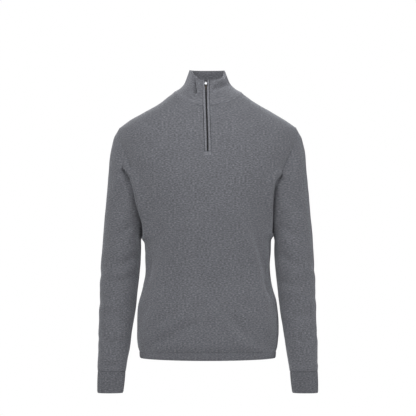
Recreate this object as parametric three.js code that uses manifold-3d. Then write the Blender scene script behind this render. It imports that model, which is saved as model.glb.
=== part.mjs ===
// A knitted sweater with a stand-up collar and a quarter zip, worn but with nobody in it.
// Millimetres, +Z up. The front faces -Y and the wearer's left arm is at +X.
// The origin is the middle of the neck base, level with the points where the shoulders meet the collar.

import * as THREE from 'three';
import { mergeVertices } from 'three/addons/utils/BufferGeometryUtils.js';
import Module from 'manifold-3d';

const wasm = await Module();
wasm.setup();

// Driving dimensions
const KNIT = 2;
const COLLAR_KNIT = 3;
const BAND_KNIT = 3;
const SEAM_GAP = 0.3;
const SEAM_LEAN = 0.12;
const NECK_HALF_WIDTH = 91;
const NECK_SIDE_Z = 2;
const FRONT_NECK_DROP = 32;
const BACK_NECK_RISE = 12;
const SHOULDER = { x: 225, z: -84 };
const UNDERARM_Z = -355;
const BODY_HEM_Z = -653;
const SWEATER_HEM_Z = -673;
const HEM_CORNER = 4;
const HEM_SIDE_LIFT = 3;
const CUFF_TOP_Z = -702;
const CUFF_END_Z = -757;
const NECK_CURVE = 1.5;
const COLLAR_RIM = { frontZ: 37, backZ: 64, backHalf: 46, frontY: -58, backY: 55, squareness: 0.72 };
const ZIP_SLOT_HALF = 9;
const ZIP_BOTTOM_Z = -145;
const ROUNDNESS = 2.4;
const SLEEVE_SQUARENESS = 0.9;
const HEM_BAND_STEPS = 48;

// The collar's rim differs on the wearer's left (hand 1) and right (hand -1): half width at the front,
// how soon it widens to the back, and between which shares of the way back it rises
const RIM_SIDES = [
  { hand: 1, frontHalf: 32, widen: 1.3, riseFrom: 0.04, riseTo: 0.85 },
  { hand: -1, frontHalf: 25, widen: 1.6, riseFrom: -0.05, riseTo: 0.62 },
];

// Rows of the collar: share of its height, and how far it has then leaned in at the front and at the side
const COLLAR_ROWS = [
  { height: 0, front: 0, side: 0 },
  { height: 0.1, front: 0.12, side: 0.16 },
  { height: 0.22, front: 0.26, side: 0.41 },
  { height: 0.4, front: 0.46, side: 0.65 },
  { height: 0.62, front: 0.69, side: 0.79 },
  { height: 0.81, front: 0.86, side: 0.885 },
  { height: 1, front: 1, side: 1 },
];

// The zip leans to the wearer's right towards its head, and the front bulges over the right sleeve
const ZIP_LEAN = { shift: -4.5, fromZ: -150, toZ: 30, reachX: 70, nearY: -10, farY: -45 };
const BULGE = { x: -176, y: -52, z: -272, reachX: 34, reachY: 52, reachZ: 62, pushX: -9, pushY: -3 };

// Columns of the grids: cells from the middle of a panel to its side
const NECK_CELLS = 6;
const RIDGE_CELLS = 6;
const PANEL_CELLS = NECK_CELLS + RIDGE_CELLS;
const LOWER_ROWS = 10;
const ARMHOLE_ROWS = 12;
const SLOT_ROW = 7;
const SHOULDER_ROUNDING = 1.35;

// The column beside the zip slot lies at this share of the first cell, where the slot doesn't set it
const SLOT_COLUMN_SHARE = 0.3;

// Troughs fade out over this share of a panel's half width and this many rows above the hem
const FOLD_FADE = { side: 0.2, rows: 2 };

// The first ring below the armhole eases towards it by this share
const RING_EASE = 0.12;

// Body sections from the hem up: half width and how far the front and back stand from the side seam.
// Above the shoulder point the half width is the outline of the shoulder.
const BODY = [
  { z: -653, half: 174, front: 112, back: 104 },
  { z: -640, half: 177.5, front: 117, back: 108 },
  { z: -604, half: 180, front: 117, back: 106 },
  { z: -564, half: 179, front: 114, back: 98 },
  { z: -523, half: 173.8, front: 111, back: 88 },
  { z: -482, half: 163.5, front: 109, back: 82 },
  { z: -441, half: 158.7, front: 110, back: 80 },
  { z: -400, half: 160.6, front: 113, back: 83 },
  { z: -355, half: 162, front: 118, back: 90 },
  { z: -300, half: 169.5, front: 122, back: 98 },
  { z: -260, half: 179.5, front: 125, back: 103 },
  { z: -212, half: 199, front: 125, back: 107 },
  { z: -170, half: 215, front: 122, back: 108 },
  { z: -138, half: 225.5, front: 117, back: 106 },
  { z: -110, half: 229.5, front: 111, back: 103 },
  { z: -84, half: 225, front: 104, back: 98 },
  { z: -63.8, half: 196, front: 97, back: 93 },
  { z: -43.4, half: 160.7, front: 89, back: 87 },
  { z: -23, half: 125.5, front: 79, back: 80 },
  { z: 2, half: 91, front: 64, back: 71 },
  { z: 14, half: 78, front: 56, back: 67 },
];

// Soft troughs pressed into the body, from one end to the other, on the front (side -1) or back (side 1)
const BODY_FOLDS = [
  { side: -1, x0: 112, z0: -365, x1: 150, z1: -470, width: 17, depth: 4.5 },
  { side: -1, x0: 146, z0: -455, x1: 166, z1: -545, width: 15, depth: 4 },
  { side: -1, x0: 66, z0: -580, x1: 150, z1: -636, width: 19, depth: 4 },
  { side: -1, x0: -78, z0: -590, x1: -140, z1: -640, width: 18, depth: 3.5 },
  { side: -1, x0: -150, z0: -400, x1: -128, z1: -500, width: 16, depth: 4 },
  { side: 1, x0: -104, z0: -380, x1: -20, z1: -452, width: 22, depth: 6 },
  { side: 1, x0: 112, z0: -400, x1: 30, z1: -468, width: 22, depth: 6 },
  { side: 1, x0: 96, z0: -560, x1: 140, z1: -632, width: 19, depth: 4 },
  { side: 1, x0: -60, z0: -540, x1: -130, z1: -618, width: 20, depth: 4.5 },
];

// Sleeve sections from the armhole down: outer and inner point seen from the front,
// half depths to the front and back of the middle, and how far the middle lies behind the side seam
const SLEEVE = [
  { outX: 239, outZ: -108, inX: 166, inZ: -359.5, front: 60, back: 64, midY: 2 },
  { outX: 248, outZ: -146, inX: 168.5, inZ: -362, front: 60, back: 64, midY: 4 },
  { outX: 252.5, outZ: -196, inX: 169, inZ: -365.5, front: 59, back: 62, midY: 6 },
  { outX: 256.5, outZ: -242, inX: 170, inZ: -371.5, front: 58, back: 61, midY: 8 },
  { outX: 261, outZ: -292, inX: 170, inZ: -382, front: 57, back: 59, midY: 9 },
  { outX: 266, outZ: -345, inX: 170.2, inZ: -402, front: 55, back: 56, midY: 9 },
  { outX: 270, outZ: -396, inX: 171.7, inZ: -432, front: 52, back: 52, midY: 8 },
  { outX: 273, outZ: -446, inX: 175.2, inZ: -468, front: 49, back: 48, midY: 5 },
  { outX: 275, outZ: -498, inX: 179.7, inZ: -512, front: 46, back: 44, midY: 0 },
  { outX: 276.5, outZ: -552, inX: 185.7, inZ: -560, front: 42, back: 40, midY: -8 },
  { outX: 278, outZ: -604, inX: 193.2, inZ: -608, front: 38, back: 37, midY: -16 },
  { outX: 279, outZ: -650, inX: 200.1, inZ: -652, front: 34, back: 34, midY: -23 },
  { outX: 280, outZ: -684, inX: 205.6, inZ: -685, front: 31, back: 31, midY: -28 },
  { outX: 279.5, outZ: -702, inX: 208.1, inZ: -702, front: 29.5, back: 29.5, midY: -30 },
];
const CUFF = [
  { outX: 279.5, outZ: CUFF_TOP_Z, inX: 208.6, inZ: CUFF_TOP_Z, front: 28.5, back: 28.5, midY: -30 },
  { outX: 280.5, outZ: -729, inX: 210.8, inZ: -729, front: 28.5, back: 28.5, midY: -33 },
  { outX: 280.5, outZ: CUFF_END_Z, inX: 214.4, inZ: CUFF_END_Z, front: 28, back: 28, midY: -36 },
];
const ARMHOLE_FRONT_DEPTH = 62;
const ARMHOLE_BACK_DEPTH = 66;

// Soft troughs round a sleeve: where along it (0 armhole, 1 cuff), where round it in degrees from the
// inner point over the front, how far it leans, and its half length round the sleeve
const SLEEVE_FOLDS = [
  { along: 0.2, round: 50, lean: 0.1, reach: 45, width: 0.035, depth: 4 },
  { along: 0.42, round: 30, lean: -0.06, reach: 60, width: 0.03, depth: 3.5 },
  { along: 0.54, round: 20, lean: 0.05, reach: 65, width: 0.03, depth: 4 },
  { along: 0.5, round: 300, lean: 0.05, reach: 55, width: 0.035, depth: 4 },
  { along: 0.68, round: 60, lean: 0.06, reach: 60, width: 0.03, depth: 3 },
];

// Zip: everything is swept up the middle of the front, offset out from the face of the knit
const WELT = { inner: 2.5, innerAtSlider: 3.9, outer: ZIP_SLOT_HALF - SEAM_GAP, back: -1.3, front: 0.8 };
const WELT_WIDENS_BELOW_SLIDER = 1.5;
const TAPE = { inner: 0.2, innerAtPost: 1.3, outer: 8.7, back: -2.6, front: -1.6 };
const CHAIN = { half: 1.8, back: -1.3, front: 0.6 };
const SLIDER = { z: 27, length: 7.6, topHalf: 3.3, bottomHalf: 2.6, plate: 0.8, flange: 0.5, corner: 0.8 };
const POST = { half: 0.9, top: 3.5, bottom: 1.7 };
const BRIDGE = { width: 1.5, top: 0.8, bottom: -3.4, rise: 2.9, strap: 0.8 };
const PULL = { length: 14.5, half: 2.3, neckHalf: 2.05, thick: 1, pin: 0.5, eyeHalf: 1.25, eyeLength: 3.6 };
const PULL_TIP = { round: 1.4, widestShare: 0.6 };
const PULL_HOLE = { down: 9, radius: 0.9 };
const PULL_TILT = 1;
const PIN_CLEARANCE = { out: 1, up: 0.25 };

// Joined shapes reach into each other by this much
const JOIN = 0.2;
const TACK = { half: 8, top: -147.5, bottom: -155, back: SEAM_GAP, front: 1.2 };

// One curve through a column of a table, smooth where its rows are uneven
function columnCurve(rows, key, column) {
  const t = rows.map((row) => row[key]);
  const value = rows.map((row) => row[column]);
  const slope = value.map((_, i) => {
    const a = Math.max(0, i - 1);
    const b = Math.min(value.length - 1, i + 1);
    return (value[b] - value[a]) / (t[b] - t[a]);
  });
  return (at) => {
    const last = t.length - 2;
    let i = 0;
    while (i < last && at > t[i + 1]) i += 1;
    const step = t[i + 1] - t[i];
    const s = THREE.MathUtils.clamp((at - t[i]) / step, 0, 1);
    const s2 = s * s;
    const s3 = s2 * s;
    return value[i] * (2 * s3 - 3 * s2 + 1) + slope[i] * step * (s3 - 2 * s2 + s)
      + value[i + 1] * (3 * s2 - 2 * s3) + slope[i + 1] * step * (s3 - s2);
  };
}

const halfWidth = columnCurve(BODY, 'z', 'half');
const frontDepth = columnCurve(BODY, 'z', 'front');
const backDepth = columnCurve(BODY, 'z', 'back');

function signedPower(value, power) {
  return Math.sign(value) * Math.abs(value) ** power;
}

// Distance of the front or back from the side seam, at a width and a height
function bodyDepth(x, z, side) {
  const across = Math.min(1, Math.abs(x) / halfWidth(z));
  const depth = side < 0 ? frontDepth(z) : backDepth(z);
  return side * depth * (1 - across ** ROUNDNESS) ** (1 / ROUNDNESS);
}

function bodyWidthAt(y, z, side) {
  const depth = side < 0 ? frontDepth(z) : backDepth(z);
  return halfWidth(z) * (1 - Math.min(1, Math.abs(y) / depth) ** ROUNDNESS) ** (1 / ROUNDNESS);
}

// How deep the listed troughs press into the body at a point of its front or back
function foldDepth(x, z, side) {
  let depth = 0;
  for (const fold of BODY_FOLDS.filter((row) => row.side === side)) {
    const alongX = fold.x1 - fold.x0;
    const alongZ = fold.z1 - fold.z0;
    const length2 = alongX ** 2 + alongZ ** 2;
    const t = ((x - fold.x0) * alongX + (z - fold.z0) * alongZ) / length2;
    const near = THREE.MathUtils.clamp(t, 0, 1);
    const gap = Math.hypot(x - fold.x0 - near * alongX, z - fold.z0 - near * alongZ);
    depth += fold.depth * Math.exp(-((gap / fold.width) ** 2));
  }
  return depth;
}

// Closed walls between a grid of outer points and a grid of inner points.
// Rows go up, columns go round so that columns x rows point out; cells that keep() refuses stay open.
function wallGeometry(outer, inner, { ring = false, keep = () => true } = {}) {
  const rows = outer.length;
  const columns = outer[0].length;
  const cellColumns = ring ? columns : columns - 1;
  const points = [...outer.flat(), ...inner.flat()];
  const index = [];
  const at = (i, j) => i * columns + ((j + columns) % columns);
  const innerStart = rows * columns;
  const exists = (i, j) => {
    if (i < 0 || i >= rows - 1) return false;
    const column = ring ? (j + cellColumns) % cellColumns : j;
    return column >= 0 && column < cellColumns && keep(i, column);
  };
  const rim = (a, b) => {
    index.push(a, innerStart + b, b);
    index.push(a, innerStart + a, innerStart + b);
  };
  for (let i = 0; i < rows - 1; i += 1) {
    for (let j = 0; j < cellColumns; j += 1) {
      if (exists(i, j)) {
        const a = at(i, j);
        const b = at(i, j + 1);
        const c = at(i + 1, j + 1);
        const d = at(i + 1, j);
        // Each cell folds along its shorter diagonal, so that both halves of the garment match
        const firstIsShort = points[a].distanceTo(points[c]) < points[b].distanceTo(points[d]);
        const halves = firstIsShort ? [[a, b, c], [a, c, d]] : [[a, b, d], [b, c, d]];
        for (const [p, q, r] of halves) {
          index.push(p, q, r);
          index.push(innerStart + p, innerStart + r, innerStart + q);
        }
        if (!exists(i - 1, j)) rim(a, b);
        if (!exists(i, j + 1)) rim(b, c);
        if (!exists(i + 1, j)) rim(c, d);
        if (!exists(i, j - 1)) rim(d, a);
      }
    }
  }
  return indexedGeometry(points, index);
}

function indexedGeometry(points, index) {
  const used = [...new Set(index)];
  const place = new Map(used.map((old, i) => [old, i]));
  const geometry = new THREE.BufferGeometry();
  const flat = used.flatMap((old) => points[old].toArray());
  geometry.setAttribute('position', new THREE.Float32BufferAttribute(flat, 3));
  geometry.setIndex(index.map((old) => place.get(old)));
  geometry.computeVertexNormals();
  return geometry;
}

// Outward directions of a grid of points
function gridNormals(grid, ring = false) {
  const rows = grid.length;
  const columns = grid[0].length;
  return grid.map((row, i) => row.map((_, j) => {
    const next = ring ? (j + 1) % columns : Math.min(columns - 1, j + 1);
    const before = ring ? (j + columns - 1) % columns : Math.max(0, j - 1);
    const round = row[next].clone().sub(row[before]);
    const up = grid[Math.min(rows - 1, i + 1)][j].clone().sub(grid[Math.max(0, i - 1)][j]);
    return round.cross(up).normalize();
  }));
}

function offsetGrid(grid, normals, distance) {
  return grid.map((row, i) => row.map((point, j) => point.clone().addScaledVector(normals[i][j], distance)));
}

// Neckline seen from the front, for an angle from the middle (0) to the shoulder (90 degrees)
function neckline(angle, side) {
  const x = NECK_HALF_WIDTH * Math.sin(angle);
  const fall = Math.cos(angle) ** NECK_CURVE;
  const z = side < 0 ? NECK_SIDE_Z - FRONT_NECK_DROP * fall : NECK_SIDE_Z + BACK_NECK_RISE * fall;
  return new THREE.Vector2(x, z);
}

// Shoulder seam seen from the front, from the neck (0) to the shoulder point (1)
const heightRows = [...BODY].filter((row) => row.z >= SHOULDER.z && row.z <= NECK_SIDE_Z).reverse();
const ridgeHeight = columnCurve(heightRows, 'half', 'z');
function shoulderSeam(t) {
  const x = THREE.MathUtils.lerp(NECK_HALF_WIDTH, SHOULDER.x, t);
  return new THREE.Vector2(x, ridgeHeight(x));
}

// Armhole seen from the front, for an angle from the underarm (0) to the shoulder (180 degrees)
function armhole(angle, side) {
  const z = UNDERARM_Z + (SHOULDER.z - UNDERARM_Z) * (1 - Math.cos(angle)) / 2;
  const y = (side < 0 ? ARMHOLE_FRONT_DEPTH : ARMHOLE_BACK_DEPTH) * Math.sin(angle);
  return new THREE.Vector2(bodyWidthAt(y, z, side), z);
}

function sectionPoint(u, z) {
  return new THREE.Vector2(halfWidth(z) * Math.sin(u * Math.PI / 2) ** (2 / ROUNDNESS), z);
}

// Share of the armhole's height at a row: the rows draw closer where the shoulder rounds over
function rowShare(row) {
  return 1 - (1 - row / ARMHOLE_ROWS) ** SHOULDER_ROUNDING;
}

// Height of the middle line above the underarm row: the slot's foot lies on a row
function middleHeight(row, side) {
  const top = neckline(0, side).y;
  const [v, slot] = [rowShare(row), rowShare(SLOT_ROW)];
  if (row <= SLOT_ROW) return THREE.MathUtils.lerp(UNDERARM_Z, ZIP_BOTTOM_Z, v / slot);
  return THREE.MathUtils.lerp(ZIP_BOTTOM_Z, top, (v - slot) / (1 - slot));
}

function topEdge(u, side) {
  const neckShare = NECK_CELLS / PANEL_CELLS;
  if (u <= neckShare) return neckline(u / neckShare * Math.PI / 2, side);
  return shoulderSeam((u - neckShare) / (1 - neckShare));
}

// A point of the front or back seen from the front, blended between the four edges of its upper part
function upperPoint(u, row, side) {
  const v = rowShare(row);
  const bottom = sectionPoint(u, UNDERARM_Z);
  const top = topEdge(u, side);
  const middle = new THREE.Vector2(0, middleHeight(row, side));
  const outside = armhole(v * Math.PI, side);
  const point = bottom.multiplyScalar(1 - v).addScaledVector(top, v);
  point.addScaledVector(middle, 1 - u).addScaledVector(outside, u);
  point.addScaledVector(new THREE.Vector2(0, UNDERARM_Z), -(1 - u) * (1 - v));
  point.addScaledVector(new THREE.Vector2(halfWidth(UNDERARM_Z), UNDERARM_Z), -u * (1 - v));
  point.addScaledVector(neckline(0, side), -(1 - u) * v);
  point.addScaledVector(new THREE.Vector2(SHOULDER.x, SHOULDER.z), -u * v);
  return point;
}

// Columns of a panel from its middle out; the front has one more beside the zip slot
function panelColumns(side) {
  const columns = Array.from({ length: PANEL_CELLS + 1 }, (_, j) => ({ u: j / PANEL_CELLS }));
  if (side < 0) columns.splice(1, 0, { u: SLOT_COLUMN_SHARE / PANEL_CELLS, x: ZIP_SLOT_HALF });
  return columns;
}

// A whole panel: side -1 is the front, 1 the back
function panelGrid(side) {
  const half = panelColumns(side);
  const mirrored = half.slice(1).reverse().map((column) => ({ ...column, hand: -1 }));
  const columns = [...mirrored, ...half.map((column) => ({ ...column, hand: 1 }))];
  if (side > 0) columns.reverse();
  const grid = [];
  for (let row = 0; row < LOWER_ROWS + ARMHOLE_ROWS + 1; row += 1) {
    grid.push(columns.map((column) => panelPoint(column, row, side)));
  }
  return { grid, columns };
}

function panelPoint(column, row, side) {
  const low = row <= LOWER_ROWS;
  const z = THREE.MathUtils.lerp(BODY_HEM_Z, UNDERARM_Z, row / LOWER_ROWS);
  const flat = low ? sectionPoint(column.u, z) : upperPoint(column.u, row - LOWER_ROWS, side);
  const x = column.x ?? flat.x;
  if (column.x && row >= LOWER_ROWS + SLOT_ROW) flat.y = middleHeight(row - LOWER_ROWS, side);
  const onRidge = row === LOWER_ROWS + ARMHOLE_ROWS && column.u >= NECK_CELLS / PANEL_CELLS;
  const onSide = column.u === 1 && low;
  const atSeam = onRidge || onSide;
  const y = atSeam ? side * SEAM_GAP / 2 : bodyDepth(x, flat.y, side);
  const edgeFade = Math.min(1, (1 - column.u) / FOLD_FADE.side) * Math.min(1, row / FOLD_FADE.rows);
  const pressed = atSeam ? 0 : foldDepth(column.hand * x, flat.y, side) * edgeFade;
  return new THREE.Vector3(column.hand * x, y - side * pressed, flat.y);
}

function buildPanel(side) {
  const { grid, columns } = panelGrid(side);
  const normals = gridNormals(grid);
  const topRow = LOWER_ROWS + ARMHOLE_ROWS;
  columns.forEach((column, j) => {
    for (let row = 0; row <= topRow; row += 1) {
      const onSide = column.u === 1 && (row <= LOWER_ROWS || row === topRow);
      const onRidge = row === topRow && column.u >= NECK_CELLS / PANEL_CELLS;
      if (onSide || onRidge) normals[row][j].setY(0).normalize();
      if (column.x) normals[row][j].setX(0).normalize();
    }
  });
  const middleCells = [0, 1].map((step) => columns.length / 2 - 1.5 + step).map(Math.round);
  const slotStart = LOWER_ROWS + SLOT_ROW;
  const keep = (i, j) => side > 0 || i < slotStart || !middleCells.includes(j);
  const geometry = wallGeometry(grid, offsetGrid(grid, normals, -KNIT), { keep });
  return { grid, normals, columns, geometry };
}

// Directions in the face of a panel, square to its edge and away from the cloth
function edgeOut(before, after, normal, inside) {
  const along = after.clone().sub(before).normalize();
  const out = along.cross(normal).normalize();
  return out.dot(inside) > 0 ? out.negate() : out;
}

// The way through a wall at a seam: between the ways through both cloths, but never back over the edge
function seamInward(panelNormal, ownNormal, out) {
  const inward = panelNormal.clone().add(ownNormal).normalize().negate();
  return inward.addScaledVector(out, Math.max(0, SEAM_LEAN - inward.dot(out))).normalize();
}

// Loop of the armhole from the underarm up the front and down the back, with its outward directions
function armholeLoop(front, back, hand) {
  const frontColumn = hand > 0 ? front.grid[0].length - 1 : 0;
  const backColumn = hand > 0 ? 0 : back.grid[0].length - 1;
  const steps = [];
  for (let k = 0; k <= ARMHOLE_ROWS; k += 1) steps.push({ panel: front, column: frontColumn, k });
  for (let k = ARMHOLE_ROWS - 1; k > 0; k -= 1) steps.push({ panel: back, column: backColumn, k });
  const loop = steps.map(({ panel, column, k }) => {
    const row = LOWER_ROWS + k;
    const point = panel.grid[row][column].clone();
    if (k === 0 || k === ARMHOLE_ROWS) point.setY(0);
    const inner = panel.grid[row][column === 0 ? 1 : column - 1];
    return { point, normal: panel.normals[row][column], inside: inner.clone().sub(point) };
  });
  return loop.map((step, i) => {
    const before = loop[(i + loop.length - 1) % loop.length].point;
    const after = loop[(i + 1) % loop.length].point;
    return { ...step, out: edgeOut(before, after, step.normal, step.inside) };
  });
}

// A ring of a sleeve or cuff, from its inner point over the front (and back over the rear)
function sleeveRing(section, hand, steps) {
  const ring = [];
  for (let k = 0; k < steps; k += 1) {
    const angle = 2 * Math.PI * k / steps;
    const across = -signedPower(Math.cos(angle), SLEEVE_SQUARENESS);
    const depth = signedPower(Math.sin(angle), SLEEVE_SQUARENESS);
    const x = (section.outX + section.inX) / 2 + across * (section.outX - section.inX) / 2;
    const z = (section.outZ + section.inZ) / 2 + across * (section.outZ - section.inZ) / 2;
    const y = section.midY - depth * (depth > 0 ? section.front : section.back);
    ring.push(new THREE.Vector3(hand * x, y, z));
  }
  return ring;
}

function sleeveFold(along, round) {
  let depth = 0;
  for (const fold of SLEEVE_FOLDS) {
    const turn = ((round - fold.round + 540) % 360) - 180;
    const offset = along - fold.along - fold.lean * turn / 90;
    depth += fold.depth * Math.exp(-((offset / fold.width) ** 2) - (turn / fold.reach) ** 2);
  }
  return depth;
}

function buildSleeve(front, back, hand) {
  const loop = armholeLoop(front, back, hand);
  const steps = loop.length;
  const first = loop.map(({ point, out }) => point.clone().addScaledVector(out, SEAM_GAP));
  const rings = [first, ...SLEEVE.map((section) => sleeveRing(section, hand, steps))];
  rings[1].forEach((point, k) => point.lerp(first[k], RING_EASE));
  // Rows run from the cuff up, so that columns x rows point out on the wearer's left
  rings.reverse();
  let grid = rings;
  if (hand < 0) grid = rings.map((ring) => [ring[0], ...ring.slice(1).reverse()]);
  let normals = gridNormals(grid, true);
  const roundOf = (k) => (hand > 0 ? k : (steps - k) % steps) * 360 / steps;
  const rowCount = grid.length;
  grid.forEach((ring, i) => ring.forEach((point, k) => {
    const along = 1 - i / (rowCount - 1);
    if (i > 1 && i < rowCount - 1) point.addScaledVector(normals[i][k], -sleeveFold(along, roundOf(k)));
  }));
  normals = gridNormals(grid, true);
  const inner = offsetGrid(grid, normals, -KNIT);
  const top = rowCount - 1;
  grid[top].forEach((point, k) => {
    const { normal, out } = loop[hand > 0 ? k : (steps - k) % steps];
    inner[top][k] = point.clone().addScaledVector(seamInward(normal, normals[top][k], out), KNIT);
  });
  return wallGeometry(grid, inner, { ring: true });
}

function buildCuff(hand) {
  const steps = 2 * ARMHOLE_ROWS;
  const rings = CUFF.map((section) => sleeveRing(section, hand, steps)).reverse();
  rings[rings.length - 1].forEach((point) => point.setZ(CUFF_TOP_Z - SEAM_GAP));
  const grid = hand > 0 ? rings : rings.map((ring) => [ring[0], ...ring.slice(1).reverse()]);
  return wallGeometry(grid, offsetGrid(grid, gridNormals(grid, true), -BAND_KNIT), { ring: true });
}

// The rib band below the body, a little inside it
function buildHemBand() {
  const rows = [
    { z: SWEATER_HEM_Z, inset: 4, lift: HEM_SIDE_LIFT },
    { z: SWEATER_HEM_Z + HEM_CORNER, inset: 1, lift: HEM_SIDE_LIFT },
    { z: BODY_HEM_Z - SEAM_GAP, inset: 0.4, lift: 0 },
  ];
  const grid = rows.map(({ z, inset, lift }) => Array.from({ length: HEM_BAND_STEPS }, (_, k) => {
    const angle = 2 * Math.PI * k / HEM_BAND_STEPS;
    const across = signedPower(Math.sin(angle), 2 / ROUNDNESS);
    const along = signedPower(Math.cos(angle), 2 / ROUNDNESS);
    const depth = along > 0 ? frontDepth(BODY_HEM_Z) : backDepth(BODY_HEM_Z);
    const x = across * (halfWidth(BODY_HEM_Z) - inset);
    return new THREE.Vector3(x, -along * (depth - inset), z + lift * across ** 2);
  }));
  return wallGeometry(grid, offsetGrid(grid, gridNormals(grid, true), -BAND_KNIT), { ring: true });
}

// The neckline's edge, from the slot on the wearer's left round the back to the slot on the right
function neckEdge(front, back) {
  const row = LOWER_ROWS + ARMHOLE_ROWS;
  const take = (panel, wanted) => panel.columns
    .map((column, j) => ({ column, j }))
    .filter(({ column }) => wanted(column))
    .map(({ column, j }) => {
      const point = panel.grid[row][j].clone();
      const inside = panel.grid[row - 1][j].clone().sub(point);
      return { point, normal: panel.normals[row][j], inside, u: column.u, x: column.x, hand: column.hand };
    });
  const share = NECK_CELLS / PANEL_CELLS + 1e-6;
  const right = take(front, (column) => column.hand > 0 && column.u > 0 && column.u < share);
  const behind = take(back, (column) => column.u < share - 1e-3);
  const left = take(front, (column) => column.hand < 0 && column.u > 0 && column.u < share);
  const edge = [...right, ...behind, ...left];
  return edge.map((step, i) => {
    const before = edge[Math.max(0, i - 1)].point;
    const after = edge[Math.min(edge.length - 1, i + 1)].point;
    return { ...step, out: edgeOut(before, after, step.normal, step.inside) };
  });
}

// Top rim of the collar for an angle from the middle of the front, to the wearer's left or right
function collarRim(angle) {
  const side = RIM_SIDES.find((row) => row.hand === (angle < 0 ? -1 : 1));
  const middleY = (COLLAR_RIM.frontY + COLLAR_RIM.backY) / 2;
  const halfY = (COLLAR_RIM.backY - COLLAR_RIM.frontY) / 2;
  const y = middleY - halfY * signedPower(Math.cos(angle), COLLAR_RIM.squareness);
  const toBack = (y - COLLAR_RIM.frontY) / (2 * halfY);
  const half = THREE.MathUtils.lerp(side.frontHalf, COLLAR_RIM.backHalf, Math.min(1, toBack * side.widen));
  const x = half * signedPower(Math.sin(angle), COLLAR_RIM.squareness);
  const rise = THREE.MathUtils.smoothstep(toBack, side.riseFrom, side.riseTo);
  return new THREE.Vector3(x, y, THREE.MathUtils.lerp(COLLAR_RIM.frontZ, COLLAR_RIM.backZ, rise));
}

function buildCollar(front, back) {
  const edge = neckEdge(front, back);
  const quarter = Math.PI / 2 * PANEL_CELLS / NECK_CELLS;
  const columns = edge.map((step, i) => {
    const behind = step.point.y > 1;
    const angle = behind ? Math.PI - step.u * quarter : step.u * quarter;
    const rim = collarRim(step.hand * angle);
    if (step.x) rim.setX(step.hand * ZIP_SLOT_HALF);
    const base = step.point.clone().addScaledVector(step.out, SEAM_GAP);
    if (step.x) base.setX(step.hand * ZIP_SLOT_HALF);
    return COLLAR_ROWS.map((row) => {
      const lean = THREE.MathUtils.lerp(row.front, row.side, Math.abs(Math.sin(angle)));
      const point = base.clone().lerp(rim, lean);
      return point.setZ(THREE.MathUtils.lerp(base.z, rim.z, row.height));
    });
  });
  const grid = COLLAR_ROWS.map((_, i) => columns.map((column) => column[i]));
  const normals = gridNormals(grid);
  normals.forEach((row) => [row[0], row[row.length - 1]].forEach((normal) => normal.setX(0).normalize()));
  const inner = offsetGrid(grid, normals, -COLLAR_KNIT);
  edge.forEach((step, j) => {
    const inward = seamInward(step.normal, normals[0][j], step.out);
    inner[0][j] = grid[0][j].clone().addScaledVector(inward, COLLAR_KNIT);
    if (step.x) inner[0][j].setX(grid[0][j].x);
  });
  return { grid, geometry: wallGeometry(grid, inner) };
}

// The line that the zip follows: the edge of the slot on the body and then on the collar, seen from the side
function zipLine(front, collar) {
  const column = front.columns.findIndex((row) => row.x && row.hand > 0);
  // It starts one row below the slot, where the tack lies
  const start = LOWER_ROWS + SLOT_ROW - 1;
  const body = front.grid.slice(start, -1).map((row) => row[column]);
  const neck = collar.grid.map((row) => row[0]);
  const line = [...body, ...neck].map((point) => ({ y: point.y, z: point.z }));
  return (z) => {
    let i = 0;
    while (i < line.length - 2 && z > line[i + 1].z) i += 1;
    const t = (z - line[i].z) / (line[i + 1].z - line[i].z);
    return { y: THREE.MathUtils.lerp(line[i].y, line[i + 1].y, t), slope: slopeAt(line, i, t) };
  };
}

// Lean of the line: of the segment itself, but shared by two segments at the point between them
function slopeAt(line, i, t) {
  const lean = (k) => (line[k + 1].y - line[k].y) / (line[k + 1].z - line[k].z);
  if (t < 1e-3 && i > 0) return (lean(i) + lean(i - 1)) / 2;
  if (t > 1 - 1e-3 && i < line.length - 2) return (lean(i) + lean(i + 1)) / 2;
  return lean(i);
}

function outFrom(line, z, x, distance) {
  const { y, slope } = line(z);
  const length = Math.hypot(1, slope);
  return new THREE.Vector3(x, y - distance / length, z + distance * slope / length);
}

// A strip along the zip line between two distances from the middle and two from the face of the knit
function stripGeometry(line, heights, xAt, back, front) {
  const row = (z, distance) => xAt(z).map((x) => outFrom(line, z, x, distance));
  return wallGeometry(heights.map((z) => row(z, front)), heights.map((z) => row(z, back)));
}

function zipHeights(front, collar, from, to, extra = []) {
  const start = LOWER_ROWS + SLOT_ROW + 1;
  const middle = front.columns.findIndex((row) => row.x && row.hand > 0);
  const body = front.grid.slice(start, -1).map((row) => row[middle].z);
  const neck = collar.grid.map((row) => row[0].z);
  const inside = [...body, ...neck, ...extra].filter((z) => z > from + 1 && z < to - 1);
  return [from, ...inside.sort((a, b) => a - b), to];
}

function toSolid(geometry) {
  const plain = geometry.clone();
  plain.deleteAttribute('normal');
  plain.deleteAttribute('uv');
  const merged = mergeVertices(plain, 1e-5);
  return new wasm.Manifold(new wasm.Mesh({
    numProp: 3,
    vertProperties: new Float32Array(merged.attributes.position.array),
    triVerts: new Uint32Array(merged.index.array),
  }));
}

function toGeometry(solid) {
  const mesh = solid.getMesh();
  const geometry = new THREE.BufferGeometry();
  geometry.setAttribute('position', new THREE.BufferAttribute(new Float32Array(mesh.vertProperties), 3));
  geometry.setIndex(new THREE.BufferAttribute(new Uint32Array(mesh.triVerts), 1));
  geometry.computeVertexNormals();
  return geometry;
}

function union(geometries) {
  return geometries.map(toSolid).reduce((sum, solid) => sum.add(solid));
}

// The slider and pull are drawn flat: x across, y up the zip, z out from the knit
function flatPlate(outline, from, to, holes = []) {
  const shape = new THREE.Shape(outline.map(([x, y]) => new THREE.Vector2(x, y)));
  shape.holes.push(...holes);
  const plate = new THREE.ExtrudeGeometry(shape, { depth: to - from, bevelEnabled: false, curveSegments: 5 });
  plate.translate(0, 0, from);
  return plate;
}

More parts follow.
